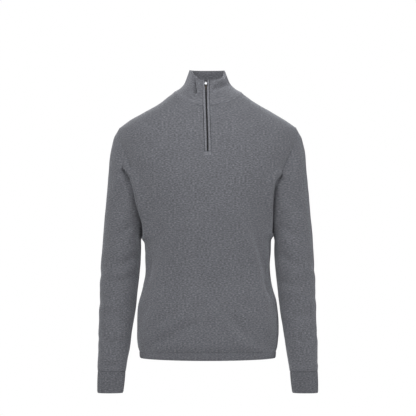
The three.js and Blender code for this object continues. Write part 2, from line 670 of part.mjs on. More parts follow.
function flatBox(x0, x1, y0, y1, z0, z1) {
  const box = new THREE.BoxGeometry(x1 - x0, y1 - y0, z1 - z0);
  box.translate((x0 + x1) / 2, (y0 + y1) / 2, (z0 + z1) / 2);
  return box;
}

const PLATE_FRONT = CHAIN.front + SEAM_GAP;
const PLATE_TOP = PLATE_FRONT + SLIDER.plate;
const PIN_OUT = PLATE_TOP + PIN_CLEARANCE.out;
const PIN_UP = BRIDGE.bottom + BRIDGE.strap + PULL.pin + PIN_CLEARANCE.up;

function sliderGeometry() {
  const half = SLIDER.length / 2;
  const corner = SLIDER.corner;
  const outline = [
    [-SLIDER.bottomHalf + corner, -half], [SLIDER.bottomHalf - corner, -half],
    [SLIDER.bottomHalf, -half + corner], [SLIDER.topHalf, half - corner],
    [SLIDER.topHalf - corner, half], [-SLIDER.topHalf + corner, half],
    [-SLIDER.topHalf, half - corner], [-SLIDER.bottomHalf, -half + corner],
  ];
  const backPlate = flatPlate(outline, TAPE.back - SEAM_GAP - SLIDER.plate, TAPE.back - SEAM_GAP);
  const frontPlate = flatPlate(outline, PLATE_FRONT, PLATE_TOP);
  const flanges = [-1, 1].map((hand) => {
    const low = -half + corner;
    const high = half - corner;
    const sides = [
      [hand * (SLIDER.bottomHalf - SLIDER.flange), low], [hand * SLIDER.bottomHalf, low],
      [hand * SLIDER.topHalf, high], [hand * (SLIDER.topHalf - SLIDER.flange), high],
    ];
    const order = hand > 0 ? sides : sides.reverse();
    return flatPlate(order, TAPE.front + SEAM_GAP, PLATE_FRONT + JOIN);
  });
  const post = flatBox(-POST.half, POST.half, POST.bottom, POST.top,
    TAPE.back - SEAM_GAP - JOIN, PLATE_FRONT + JOIN);
  const reach = BRIDGE.width / 2;
  const lift = PLATE_TOP + BRIDGE.rise - BRIDGE.strap;
  const roof = flatBox(-reach, reach, BRIDGE.bottom, BRIDGE.top, lift, PLATE_TOP + BRIDGE.rise);
  const legs = [
    flatBox(-reach, reach, BRIDGE.bottom, BRIDGE.bottom + BRIDGE.strap, PLATE_TOP - JOIN, lift + JOIN),
    flatBox(-reach, reach, BRIDGE.top - BRIDGE.strap, BRIDGE.top, PLATE_TOP - JOIN, lift + JOIN),
  ];
  return toGeometry(union([backPlate, frontPlate, ...flanges, post, roof, ...legs]));
}

// The pull hangs from its pin, which is the origin here: two cheeks, the pin and a tab with a hole
function pullGeometry() {
  const cheekTop = PULL.pin;
  const tabTop = -PULL.eyeLength;
  const tip = -PULL.length;
  const hole = new THREE.Path();
  hole.absarc(0, -PULL_HOLE.down, PULL_HOLE.radius, 0, 2 * Math.PI, true);
  const { round, widestShare } = PULL_TIP;
  const outline = [
    [-PULL.neckHalf, tabTop], [-PULL.half, tip * widestShare], [-PULL.half, tip + round],
    [-PULL.half + round, tip], [PULL.half - round, tip], [PULL.half, tip + round],
    [PULL.half, tip * widestShare], [PULL.neckHalf, tabTop],
  ];
  const tab = flatPlate(outline, -PULL.thick / 2, PULL.thick / 2, [hole]);
  const cheeks = [-1, 1].map((hand) => {
    const [x0, x1] = [hand * PULL.eyeHalf, hand * PULL.neckHalf].sort((a, b) => a - b);
    return flatBox(x0, x1, tabTop - SEAM_GAP, cheekTop, -PULL.thick / 2, PULL.thick / 2);
  });
  const pin = new THREE.CylinderGeometry(PULL.pin, PULL.pin, 2 * (PULL.neckHalf - JOIN), 10);
  pin.rotateZ(Math.PI / 2);
  return toGeometry(union([tab, ...cheeks, pin]));
}

// Stands a flat piece on the zip line: its z axis points out from the knit and its y axis up the zip
function standOnZip(mesh, line, z, up, out) {
  const { slope } = line(z);
  const tilt = Math.atan(slope);
  const base = outFrom(line, z, 0, 0);
  mesh.rotation.set(Math.PI / 2 - tilt, 0, 0);
  const upWay = new THREE.Vector3(0, Math.sin(tilt), Math.cos(tilt));
  const outWay = new THREE.Vector3(0, -Math.cos(tilt), Math.sin(tilt));
  mesh.position.copy(base.addScaledVector(upWay, up).addScaledVector(outWay, out));
  mesh.position.add(settleBy(mesh.position).setY(0));
}

// Materials
const knit = () => new THREE.MeshStandardMaterial({ color: 0x66676c, roughness: 0.95, metalness: 0 });
const tapeCloth = () => new THREE.MeshStandardMaterial({ color: 0x2b2c30, roughness: 0.9, metalness: 0 });
const nylon = () => new THREE.MeshStandardMaterial({ color: 0x232427, roughness: 0.5, metalness: 0 });
const nickel = () => new THREE.MeshStandardMaterial({ color: 0xb9bcc0, roughness: 0.3, metalness: 1 });
const gunmetal = () => new THREE.MeshStandardMaterial({ color: 0x4a4640, roughness: 0.4, metalness: 1 });

const sweater = new THREE.Group();

function addPiece(name, geometry, material) {
  const mesh = new THREE.Mesh(geometry, material);
  mesh.name = name;
  sweater.add(mesh);
  return mesh;
}

// How far the hanging of the cloth moves a point of it
function settleBy({ x, y, z }) {
  const height = THREE.MathUtils.smoothstep(z, ZIP_LEAN.fromZ, ZIP_LEAN.toZ);
  const ahead = THREE.MathUtils.smoothstep(-y, -ZIP_LEAN.nearY, -ZIP_LEAN.farY);
  const lean = ZIP_LEAN.shift * height * ahead * Math.exp(-((x / ZIP_LEAN.reachX) ** 2));
  const across = (x - BULGE.x) / BULGE.reachX;
  const forward = (y - BULGE.y) / BULGE.reachY;
  const up = (z - BULGE.z) / BULGE.reachZ;
  const bulge = Math.exp(-(across ** 2) - forward ** 2 - up ** 2);
  return new THREE.Vector3(lean + bulge * BULGE.pushX, bulge * BULGE.pushY, 0);
}

function addCloth(name, geometry, material) {
  const place = geometry.attributes.position;
  const point = new THREE.Vector3();
  for (let i = 0; i < place.count; i += 1) {
    point.fromBufferAttribute(place, i);
    point.add(settleBy(point));
    place.setXYZ(i, point.x, point.y, point.z);
  }
  geometry.computeVertexNormals();
  return addPiece(name, geometry, material);
}

const frontPanel = buildPanel(-1);
const backPanel = buildPanel(1);
const collar = buildCollar(frontPanel, backPanel);
addCloth('front', frontPanel.geometry, knit());
addCloth('back', backPanel.geometry, knit());
addCloth('collar', collar.geometry, knit());
addCloth('hem_band', buildHemBand(), knit());
for (const [name, hand] of [['left', 1], ['right', -1]]) {
  addCloth(`sleeve_${name}`, buildSleeve(frontPanel, backPanel, hand), knit());
  addCloth(`cuff_${name}`, buildCuff(hand), knit());
}

const line = zipLine(frontPanel, collar);
const zipFoot = ZIP_BOTTOM_Z + SEAM_GAP;
const zipHead = COLLAR_RIM.frontZ;
const sliderFoot = SLIDER.z - SLIDER.length / 2 - WELT_WIDENS_BELOW_SLIDER;
const chainHead = SLIDER.z + POST.bottom - SEAM_GAP - JOIN;
const weltHeights = zipHeights(frontPanel, collar, zipFoot, zipHead, [sliderFoot]);
const tapeHeights = zipHeights(frontPanel, collar, zipFoot, zipHead, [SLIDER.z - 1]);
const chainHeights = zipHeights(frontPanel, collar, zipFoot + 1, chainHead);
for (const [name, hand] of [['left', 1], ['right', -1]]) {
  const ordered = (inner, outer) => [hand * inner, hand * outer].sort((a, b) => a - b);
  const weltEdge = (z) => ordered(z > sliderFoot - 1 ? WELT.innerAtSlider : WELT.inner, WELT.outer);
  const tapeEdge = (z) => ordered(z > SLIDER.z - 2 ? TAPE.innerAtPost : TAPE.inner, TAPE.outer);
  const welt = stripGeometry(line, weltHeights, weltEdge, WELT.back, WELT.front);
  addCloth(`zip_binding_${name}`, welt, knit());
  const tape = stripGeometry(line, tapeHeights, tapeEdge, TAPE.back, TAPE.front);
  addCloth(`zip_tape_${name}`, tape, tapeCloth());
}
const chain = stripGeometry(line, chainHeights, () => [-CHAIN.half, CHAIN.half], CHAIN.back, CHAIN.front);
addCloth('zip_chain', chain, nylon());
const tackWidth = () => [-TACK.half, TACK.half];
const tack = stripGeometry(line, [TACK.bottom, TACK.top], tackWidth, TACK.back, TACK.front);
addCloth('zip_foot_tack', tack, knit());

standOnZip(addPiece('slider', sliderGeometry(), nickel()), line, SLIDER.z, 0, 0);
const pull = addPiece('pull_tab', pullGeometry(), gunmetal());
standOnZip(pull, line, SLIDER.z, PIN_UP, PIN_OUT);
pull.rotation.x += THREE.MathUtils.degToRad(PULL_TILT);

export default sweater;
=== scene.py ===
# A grey melange quarter zip sweater, filled out as if worn but with nobody in it.
# The front faces -Y and the wearer's left arm is at +X. Shapes are worked out in millimetres, as the
# driving dimensions are, and meshes are made in metres.
import math
from functools import partial

import bmesh
import bpy
import numpy as np
from mathutils import Matrix, Vector


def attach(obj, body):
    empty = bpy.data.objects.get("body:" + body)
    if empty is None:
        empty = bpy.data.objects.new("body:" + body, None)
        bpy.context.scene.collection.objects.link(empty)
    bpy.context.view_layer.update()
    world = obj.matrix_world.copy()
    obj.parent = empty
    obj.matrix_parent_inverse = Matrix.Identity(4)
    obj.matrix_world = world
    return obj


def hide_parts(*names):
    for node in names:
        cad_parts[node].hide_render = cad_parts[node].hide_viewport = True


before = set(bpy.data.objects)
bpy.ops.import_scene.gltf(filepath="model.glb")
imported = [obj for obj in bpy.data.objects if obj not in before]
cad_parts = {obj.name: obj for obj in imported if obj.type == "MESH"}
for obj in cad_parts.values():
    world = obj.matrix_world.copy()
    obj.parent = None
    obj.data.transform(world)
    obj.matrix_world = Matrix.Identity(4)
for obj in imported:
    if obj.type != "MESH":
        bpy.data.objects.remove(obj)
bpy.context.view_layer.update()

MM = 0.001

# Driving dimensions, as in the solids
KNIT = 2.0
COLLAR_KNIT = 3.0
BAND_KNIT = 3.0
SEAM_GAP = 0.3
CLOSE_GAP = 0.08
NECK_HALF_WIDTH = 91.0
NECK_SIDE_Z = 2.0
FRONT_NECK_DROP = 32.0
BACK_NECK_RISE = 12.0
SHOULDER_X, SHOULDER_Z = 225.0, -84.0
UNDERARM_Z = -355.0
BODY_HEM_Z = -653.0
HEM_SIDE_LIFT = 3.0
RIM_FRONT_Z, RIM_BACK_Z = 37.0, 64.0
RIM_BACK_HALF = 46.0
RIM_FRONT_Y, RIM_BACK_Y = -58.0, 55.0
# The rim by side: hand, half width at the front, how soon it widens, where it rises from and to
RIM_SIDES = {1: (32.0, 1.3, 0.04, 0.85), -1: (25.0, 1.6, -0.05, 0.62)}
SLOT_HALF = 9.0
ZIP_BOTTOM_Z = -145.0
BAND_CLOTH = BAND_KNIT - 0.6
KNIT_EDGE, COLLAR_EDGE, CUFF_EDGE = 0.3, 1.2, 0.8
CUFF_RIBS, HEM_RIBS, RIB_HEIGHT = 84, 372, 0.55
ROUNDNESS = 2.4
NECK_SHARE = 0.5
ARMHOLE_ROWS = 12
SLOT_ROW = 7
SHOULDER_ROUNDING = 1.35
ARMHOLE_FRONT_DEPTH, ARMHOLE_BACK_DEPTH = 62.0, 66.0

# Body sections from the hem up: height, half width, depth of the front and of the back
BODY = [
    (-653, 174, 112, 104), (-640, 177.5, 117, 108), (-604, 180, 117, 106), (-564, 179, 114, 98),
    (-523, 173.8, 111, 88), (-482, 163.5, 109, 82), (-441, 158.7, 110, 80), (-400, 160.6, 113, 83),
    (-355, 162, 118, 90), (-300, 169.5, 122, 98), (-260, 179.5, 125, 103), (-212, 199, 125, 107),
    (-170, 215, 122, 108), (-138, 225.5, 117, 106), (-110, 229.5, 111, 103), (-84, 225, 104, 98),
    (-63.8, 196, 97, 93), (-43.4, 160.7, 89, 87), (-23, 125.5, 79, 80), (2, 91, 64, 71), (14, 78, 56, 67),
]

# Sleeve sections from the armhole down: outer point x, z, inner point x, z, half depth to the front and
# to the back of the middle, and how far the middle lies behind the side seam
SLEEVE = [
    (239, -108, 166, -359.5, 60, 64, 2), (248, -146, 168.5, -362, 60, 64, 4),
    (252.5, -196, 169, -365.5, 59, 62, 6), (256.5, -242, 170, -371.5, 58, 61, 8),
    (261, -292, 170, -382, 57, 59, 9), (266, -345, 170.2, -402, 55, 56, 9),
    (270, -396, 171.7, -432, 52, 52, 8), (273, -446, 175.2, -468, 49, 48, 5),
    (275, -498, 179.7, -512, 46, 44, 0), (276.5, -552, 185.7, -560, 42, 40, -8),
    (278, -604, 193.2, -608, 38, 37, -16), (279, -650, 200.1, -652, 34, 34, -23),
    (280, -684, 205.6, -685, 31, 31, -28), (279.5, -702, 208.1, -702, 29.5, 29.5, -30),
]
CUFF = [
    (279.5, -702.3, 208.6, -702.3, 28.5, 28.5, -30), (280.5, -729, 210.8, -729, 28.5, 28.5, -33),
    (280.5, -757, 214.4, -757, 28, 28, -36),
]

# Rows of the collar: share of its height, and how far it has leaned in at the front and at the side
COLLAR_PROFILE = [
    (0, 0, 0), (0.1, 0.12, 0.16), (0.22, 0.26, 0.41), (0.4, 0.46, 0.65), (0.62, 0.69, 0.79),
    (0.81, 0.86, 0.885), (1, 1, 1),
]

# The zip leans to the wearer's right towards its head, and the front bulges over the right sleeve
ZIP_LEAN, LEAN_FROM_Z, LEAN_TO_Z, LEAN_REACH = -4.5, -150.0, 30.0, 70.0
LEAN_NEAR_Y, LEAN_FAR_Y = -10.0, -45.0
BULGE_AT, BULGE_REACH, BULGE_PUSH = (-176, -52, -272), (34, 52, 62), (-9, -3, 0)

# Folds of the cloth. Each is pressed along a line of points seen from one side of the garment, as
# (across, height) in millimetres: from the front or back across is x, from the sides it is y.
# Then come the trough's width and depth, and how far a crest raises the cloth beside it, on its lower or
# outer side.
FOLDS = {
    # The front, round the waist and above the hem
    ("body", "front"): [
        ([(118, -352), (136, -400), (150, -452), (160, -500)], 12, 7.0, 2.6),
        ([(146, -470), (162, -510), (168, -548), (160, -575)], 8, 5.0, 2.0),
        ([(96, -300), (122, -345), (140, -385)], 16, 2.4, 1.0),
        ([(58, -560), (92, -600), (130, -628), (164, -640)], 15, 6.6, 3.0),
        ([(92, -566), (122, -596), (156, -616)], 11, 3.0, 1.6),
        ([(-22, -580), (-68, -596), (-112, -622), (-154, -640)], 15, 5.8, 2.8),
        ([(-96, -560), (-126, -586), (-160, -606)], 11, 2.4, 1.2),
        ([(-152, -392), (-148, -430), (-156, -470)], 9, 5.5, 2.0),
        ([(-110, -330), (-132, -380), (-140, -440), (-150, -500)], 15, 3.4, 1.4),
        ([(-150, -520), (-166, -560), (-170, -600)], 10, 2.4, 1.0),
        ([(-40, -470), (20, -482), (86, -470)], 22, 1.6, 0.8),
        ([(30, -230), (90, -262), (140, -318)], 22, 2.0, 0.8),
        ([(-60, -236), (-112, -276), (-146, -330)], 20, 2.2, 0.8),
        ([(-70, -60), (-110, -95), (-150, -150)], 20, 1.6, 0.6),
        ([(76, -56), (118, -96), (150, -160)], 20, 1.6, 0.6),
        # Above the hem band the knit puckers where the band gathers it
        ([(-168, -645), (-152, -640), (-138, -646)], 4, 3.4, 2.0),
        ([(138, -646), (152, -641), (168, -645)], 4, 3.6, 2.0),
        ([(-120, -650), (-104, -645), (-88, -650)], 4, 1.4, 0.8),
        ([(86, -650), (104, -644), (122, -649)], 4, 1.6, 0.8),
        ([(-40, -650), (-10, -646), (24, -650)], 5, 1.0, 0.6),
    ],
    # The back, where the waist hollows and the cloth drops from the shoulder blades
    ("body", "back"): [
        ([(-128, -362), (-84, -420), (-22, -458)], 18, 6.0, 2.6),
        ([(132, -372), (92, -432), (34, -474)], 18, 6.0, 2.6),
        ([(-60, -492), (-6, -510), (52, -500)], 17, 4.0, 2.0),
        ([(90, -548), (124, -600), (150, -636)], 15, 4.4, 2.0),
        ([(-52, -540), (-98, -590), (-142, -626)], 15, 4.8, 2.0),
        ([(-140, -420), (-118, -470), (-120, -520)], 12, 3.0, 1.4),
        ([(146, -452), (134, -500), (140, -546)], 12, 3.2, 1.4),
        ([(-96, -110), (-122, -180), (-136, -262)], 22, 3.0, 1.2),
        ([(98, -116), (126, -190), (138, -270)], 22, 3.0, 1.2),
        ([(-34, -56), (4, -66), (40, -58)], 14, 1.6, 0.8),
        ([(-150, -648), (-132, -643), (-110, -649)], 4, 2.0, 1.2),
        ([(96, -649), (118, -643), (146, -648)], 4, 2.2, 1.2),
    ],
    # The sides, below the underarms
    ("body", "left"): [
        ([(-40, -380), (-8, -420), (-20, -470)], 12, 3.0, 1.2),
        ([(30, -520), (4, -560), (18, -610)], 12, 2.6, 1.2),
    ],
    ("body", "right"): [
        ([(-30, -372), (4, -416), (-6, -462)], 12, 3.0, 1.2),
        ([(24, -540), (-4, -580), (14, -622)], 12, 2.6, 1.2),
    ],
    # The wearer's left sleeve
    ("sleeve_left", "front"): [
        ([(196, -214), (214, -262), (236, -300)], 13, 4.0, 1.6),
        ([(184, -330), (210, -352), (244, -356)], 12, 3.0, 1.6),
        ([(180, -398), (208, -424), (246, -438)], 11, 3.0, 1.6),
        ([(186, -470), (214, -486), (250, -482)], 10, 3.4, 1.8),
        ([(196, -540), (226, -560), (262, -556)], 10, 2.2, 1.2),
        ([(206, -610), (236, -626), (268, -618)], 9, 1.8, 1.0),
        ([(214, -676), (240, -688), (266, -684)], 7, 1.6, 1.0),
    ],
    ("sleeve_left", "back"): [
        ([(188, -280), (218, -330), (250, -352)], 15, 4.4, 2.0),
        ([(186, -420), (214, -452), (252, -458)], 12, 4.4, 2.2),
        ([(192, -490), (222, -516), (258, -508)], 11, 3.6, 2.0),
        ([(206, -586), (234, -606), (264, -600)], 10, 2.4, 1.2),
    ],
    ("sleeve_left", "left"): [
        ([(-34, -420), (2, -452), (30, -440)], 12, 1.9, 0.8),
        ([(-44, -500), (-10, -520), (24, -506)], 11, 1.5, 0.7),
        ([(-40, -596), (-16, -616), (10, -606)], 9, 1.1, 0.5),
        ([(-52, -670), (-30, -682), (-8, -674)], 7, 1.0, 0.5),
    ],
    # The wearer's right sleeve
    ("sleeve_right", "front"): [
        ([(-192, -206), (-212, -250), (-238, -286)], 14, 4.4, 1.8),
        ([(-182, -316), (-206, -346), (-242, -362)], 12, 3.2, 1.6),
        ([(-178, -408), (-206, -428), (-240, -430)], 11, 2.8, 1.4),
        ([(-184, -456), (-216, -478), (-252, -476)], 10, 3.0, 1.6),
        ([(-192, -528), (-222, -552), (-258, -556)], 10, 2.4, 1.2),
        ([(-208, -620), (-238, -632), (-266, -622)], 9, 1.8, 1.0),
        ([(-216, -680), (-244, -690), (-268, -684)], 7, 1.6, 1.0),
    ],
    ("sleeve_right", "back"): [
        ([(-186, -292), (-216, -344), (-250, -360)], 15, 4.4, 2.0),
        ([(-186, -432), (-216, -460), (-254, -466)], 12, 4.4, 2.2),
        ([(-194, -502), (-224, -530), (-260, -520)], 11, 3.4, 1.8),
        ([(-208, -600), (-236, -618), (-266, -610)], 10, 2.4, 1.2),
    ],
    ("sleeve_right", "right"): [
        ([(-36, -430), (0, -462), (30, -450)], 12, 1.9, 0.8),
        ([(-44, -512), (-12, -532), (22, -520)], 11, 1.5, 0.7),
        ([(-42, -606), (-18, -624), (8, -614)], 9, 1.1, 0.5),
    ],
    # The collar: a sharp fold beside the zip on one side, a soft hollow on the other
    ("collar", "front"): [
        ([(-27, 2), (-28.5, 16), (-30.4, 30), (-30.8, 48)], 3.2, 14.0, 3.4),
        ([(60, 33), (42, 25), (22, 12)], 7.0, 9.0, 3.0),
        ([(-66, 4), (-44, -8), (-20, -14)], 6.0, 1.4, 0.8),
        ([(62, 8), (40, -6), (22, -12)], 6.0, 1.2, 0.8),
    ],
    ("collar", "back"): [
        ([(-34, 44), (-10, 30), (16, 26)], 7.0, 1.8, 0.9),
        ([(46, 30), (30, 20), (10, 18)], 6.0, 1.6, 0.8),
    ],
}

# Waves that keep the cloth from lying dead flat: direction per metre in x, y and z, phase, height in mm
UNEVEN_SCALE, UNEVEN_BEND, UNEVEN_DRIFT = 2.2, 0.8, 0.37
UNEVEN = [
    (23.0, 11.0, 9.0, 0.4, 0.30), (-14.0, 19.0, 21.0, 1.7, 0.28), (37.0, -17.0, 31.0, 2.9, 0.18),
    (-41.0, 29.0, -36.0, 4.1, 0.14), (61.0, 23.0, -52.0, 0.8, 0.09), (-73.0, -47.0, 66.0, 5.2, 0.07),
]

# The zip, measured out from the face of the knit
WELT_INNER, WELT_INNER_TOP = 2.1, 3.8
WELT_OUTER = SLOT_HALF - 1.15
WELT_BACK, WELT_FRONT = -1.3, 0.8
TAPE_INNER, TAPE_OUTER, TAPE_BACK, TAPE_FRONT = 0.25, 8.7, -2.6, -1.6
COIL_PITCH = 1.25
COIL_RADIUS = 0.42
SLIDER_Z = 27.0
PIN = Vector((-4.493, -63.644, 25.913))
STITCH_WIDTH = 1.3
COURSE_HEIGHT = 0.95


def column_curve(rows, column, key=0):
    """A smooth curve through one column of a table, for single heights or arrays of them."""
    order = sorted(rows, key=lambda row: row[key])
    t = np.array([row[key] for row in order], float)
    value = np.array([row[column] for row in order], float)
    before = np.maximum(0, np.arange(len(t)) - 1)
    after = np.minimum(len(t) - 1, np.arange(len(t)) + 1)
    slope = (value[after] - value[before]) / (t[after] - t[before])

    def at(z):
        z = np.clip(np.asarray(z, float), t[0], t[-1])
        i = np.clip(np.searchsorted(t, z, side="right") - 1, 0, len(t) - 2)
        step = t[i + 1] - t[i]
        s = (z - t[i]) / step
        low = value[i] * (2 * s**3 - 3 * s**2 + 1) + slope[i] * step * (s**3 - 2 * s**2 + s)
        return low + value[i + 1] * (3 * s**2 - 2 * s**3) + slope[i + 1] * step * (s**3 - s**2)

    return at


plain_half_width = column_curve(BODY, 1)
front_depth = column_curve(BODY, 2)
back_depth = column_curve(BODY, 3)
ridge_height = column_curve([row for row in BODY if SHOULDER_Z <= row[0] <= NECK_SIDE_Z], 0, key=1)

RIDGE_X = np.linspace(NECK_HALF_WIDTH, SHOULDER_X, 400)
RIDGE_Z = ridge_height(RIDGE_X)


def half_width(z):
    """Half width of the body at a height; along the shoulder it is the outline of the seam."""
    on_ridge = np.interp(z, RIDGE_Z[::-1], RIDGE_X[::-1])
    return np.where((z > SHOULDER_Z) & (z < NECK_SIDE_Z), on_ridge, plain_half_width(z))


def body_depth(x, z, side):
    across = np.clip(np.abs(x) / half_width(z), 0, 1)
    depth = front_depth(z) if side < 0 else back_depth(z)
    return side * depth * (1 - across**ROUNDNESS) ** (1 / ROUNDNESS)


def body_width_at(y, z, side):
    depth = front_depth(z) if side < 0 else back_depth(z)
    return half_width(z) * (1 - np.clip(np.abs(y) / depth, 0, 1) ** ROUNDNESS) ** (1 / ROUNDNESS)


def signed_power(value, power):
    return np.sign(value) * np.abs(value) ** power


def smooth(value, low, high):
    t = np.clip((value - low) / (high - low), 0, 1)
    return t * t * (3 - 2 * t)


def lerp(a, b, t):
    return a + (b - a) * t


def bump_at(value, width):
    """A soft bump of height 1 at value 0."""
    return np.exp(-((value / width) ** 2))


def unit(vectors, least=0.0):
    return vectors / np.maximum(np.linalg.norm(vectors, axis=-1, keepdims=True), least)


def full_turn(count):
    return np.linspace(0, 2 * math.pi, count, endpoint=False)


def fine(count, parts, crowd_start=False, crowd_end=False):
    """Steps from 0 to count, with parts in each; the first and last are split finer towards a seam."""
    steps = []
    for i in range(count):
        share = np.arange(parts) / parts
        if i == 0 and crowd_start:
            share = share**1.9
        if i == count - 1 and crowd_end:
            share = 1 - (1 - share) ** 1.9
        steps.extend(i + share)
    return np.array(steps + [count], float)


def grid_normals(grid, ring=False):
    if ring:
        around = np.roll(grid, -1, axis=1) - np.roll(grid, 1, axis=1)
    else:
        around = np.gradient(grid, axis=1)
    return unit(np.cross(around, np.gradient(grid, axis=0)), 1e-9)


def settle_by(points):
    """How far the hanging of the cloth moves each point of it."""
    lean = ZIP_LEAN * smooth(points[..., 2], LEAN_FROM_Z, LEAN_TO_Z)
    lean = lean * smooth(-points[..., 1], -LEAN_NEAR_Y, -LEAN_FAR_Y)
    lean = lean * bump_at(points[..., 0], LEAN_REACH)
    away = (points - np.array(BULGE_AT)) / np.array(BULGE_REACH)
    bulge = np.exp(-(away**2).sum(axis=-1))
    return lean[..., None] * np.array([1.0, 0.0, 0.0]) + bulge[..., None] * np.array(BULGE_PUSH)


def fold_line(points):
    """A rounder line through the points of a fold."""
    line = np.array(points, float)
    for _ in range(2):
        cut = [line[0]]
        for a, b in zip(line[:-1], line[1:]):
            cut.extend([lerp(a, b, 0.25), lerp(a, b, 0.75)])
        cut.append(line[-1])
        line = np.array(cut)
    return line


def near_line(flat, points):
    """Distance of each flat point to a fold's line, signed by its side, and how far along it lies."""
    line = fold_line(points)
    nearest = np.full(flat.shape[:-1], 1e9)
    along = np.zeros(flat.shape[:-1])
    sign = np.ones(flat.shape[:-1])
    steps = len(line) - 1
    for i, (a, b) in enumerate(zip(line[:-1], line[1:])):
        way = b - a
        t = np.clip(((flat - a) @ way) / (way @ way), 0, 1)
        off = flat - a - t[..., None] * way
        gap = np.hypot(off[..., 0], off[..., 1])
        closer = gap < nearest
        nearest = np.where(closer, gap, nearest)
        along = np.where(closer, (i + t) / steps, along)
        sign = np.where(closer, np.sign(way[0] * off[..., 1] - way[1] * off[..., 0]), sign)
    return nearest * sign, along


# Where an arm hangs against the body the front bulges over a deep valley beside the armhole.
# hand, line of the valley from its head to its foot as (across, height) seen from the front,
# depth at the head and at the foot, reach into the sleeve, and how far the body leans over and bulges
VALLEYS = [
    (1, [(189, -203), (178, -208), (168, -220), (165, -238), (163, -280), (163, -322), (162, -350)],
     8.0, 19.0, 8.5, 7.0, 2.0),
    (-1, [(-219, -186), (-204, -197), (-184, -226), (-173, -260), (-166, -300), (-161, -330), (-162, -358)],
     9.0, 27.0, 14.0, 7.0, 6.0),
]
VALLEY_WALL, VALLEY_FLATNESS = 3.0, 2.6
VALLEY_LIP_AT, VALLEY_LIP_REACH = 7.5, 8.5


def valley_by(points):
    """How the valleys move the cloth of the body and the sleeves alike."""
    move = np.zeros(points.shape)
    flat = points[..., [0, 2]]
    ahead = smooth(-points[..., 1], -6, 16)
    for hand, line, head_depth, foot_depth, reach, lean, bulge in VALLEYS:
        gap, along = near_line(flat, line)
        # The body lies on the positive side
        gap = gap * -hand
        strength = ahead * smooth(along, 0.0, 0.16)
        depth = strength * lerp(head_depth, foot_depth, along)
        width = np.where(gap > 0, VALLEY_WALL, reach)
        lip = strength * bump_at(gap - VALLEY_LIP_AT, VALLEY_LIP_REACH)
        move[..., 1] += depth * np.exp(-(np.abs(gap / width) ** VALLEY_FLATNESS)) - bulge * lip
        move[..., 0] += hand * lean * lip
    return move


def settle(points):
    pressed = points + valley_by(points)
    return pressed + settle_by(pressed)


# Folds and unevenness, pushed along the normals
VIEWS = {
    "front": (0, np.array([0.0, -1.0, 0.0])),
    "back": (0, np.array([0.0, 1.0, 0.0])),
    "left": (1, np.array([1.0, 0.0, 0.0])),
    "right": (1, np.array([-1.0, 0.0, 0.0])),
}


# A fold starts and ends shallow, fades where the cloth turns away, and has its crest beside the trough
FOLD_TIP, FOLD_FACING = 0.08, (0.12, 0.5)
CREST_AT, CREST_WIDTH = 1.9, 1.1


def fold_field(grid, normals, name):
    """How far the folds of a piece move its points along their normals."""
    height = np.zeros(grid.shape[:2])
    folds = [(view, *fold) for (on, view), group in FOLDS.items() if on == name for fold in group]
    for view, points, width, depth, crest in folds:
        axis, toward = VIEWS[view]
        side_gap, along = near_line(np.stack([grid[..., axis], grid[..., 2]], axis=-1), points)
        taper = np.sin(np.pi * np.clip(FOLD_TIP + (1 - 2 * FOLD_TIP) * along, 0, 1)) ** 0.8
        facing = smooth(normals @ toward, *FOLD_FACING)
        trough = -depth * bump_at(side_gap, width)
        shoulder = crest * bump_at(side_gap + CREST_AT * width, CREST_WIDTH * width)
        height += facing * taper * (trough + shoulder)
    return height


def uneven_field(grid):
    height = np.zeros(grid.shape[:2])
    for kx, ky, kz, phase, size in UNEVEN:
        turn = (grid @ np.array([kx, ky, kz])) * MM * UNEVEN_SCALE + phase
        height += size * np.sin(turn + UNEVEN_BEND * np.sin(UNEVEN_DRIFT * turn + phase))
    return height


def along_cloth(grid, axis, backwards=False):
    """How far each point lies along the cloth from its first row or column, or from its last."""
    if backwards:
        return np.flip(along_cloth(np.flip(grid, axis), axis), axis)
    steps = np.linalg.norm(np.diff(grid, axis=axis), axis=2)
    return np.concatenate([np.zeros_like(steps.take([0], axis)), np.cumsum(steps, axis)], axis)


# How deep a plain seam is pressed in, and how far its dip reaches
SEAM_LIP = 0.15, 1.6
LIP_EDGES = {"left": (1, False), "right": (1, True), "bottom": (0, False), "top": (0, True)}


def press_lips(grid, edges, depth, reach):
    """Turn the cloth in along its seams."""
    gaps = [along_cloth(grid, *LIP_EDGES[edge]) for edge in edges]
    return -depth * bump_at(np.minimum.reduce(gaps), reach)


def arc_uv(grid, centre_column=0, ring=False):
    """Stitches across and courses up at each point, measured along the cloth."""
    closed = np.concatenate([grid, grid[:, :1]], axis=1) if ring else grid
    u = along_cloth(closed, 1)
    return u - u[:, centre_column : centre_column + 1], along_cloth(closed, 0)


PANEL_YOKE_Z = -138.0


def panel_uv(grid, side):
    """Wales run straight up the panel and courses level across it, both measured along the cloth."""
    x, z = np.abs(grid[..., 0]), grid[..., 2]
    level = np.minimum(z, PANEL_YOKE_Z)
    share = np.linspace(0, 1, 25)
    line_x = x[..., None] * share
    line_y = body_depth(line_x, level[..., None] + 0 * line_x, side)
    across = np.hypot(np.diff(line_x, axis=-1), np.diff(line_y, axis=-1)).sum(axis=-1)
    middle = np.linspace(BODY_HEM_Z, PANEL_YOKE_Z, 400)
    middle_y = body_depth(0 * middle, middle, side)
    climb = np.concatenate([[0], np.cumsum(np.hypot(np.diff(middle), np.diff(middle_y)))])
    up = np.interp(level, middle, climb)
    rise_z = PANEL_YOKE_Z + np.maximum(z - PANEL_YOKE_Z, 0)[..., None] * share
    rise_y = body_depth(x[..., None] + 0 * rise_z, rise_z, side)
    up = up + np.hypot(np.diff(rise_z, axis=-1), np.diff(rise_y, axis=-1)).sum(axis=-1)
    hand = np.sign(grid[..., 0]) * -side
    return across * hand, up


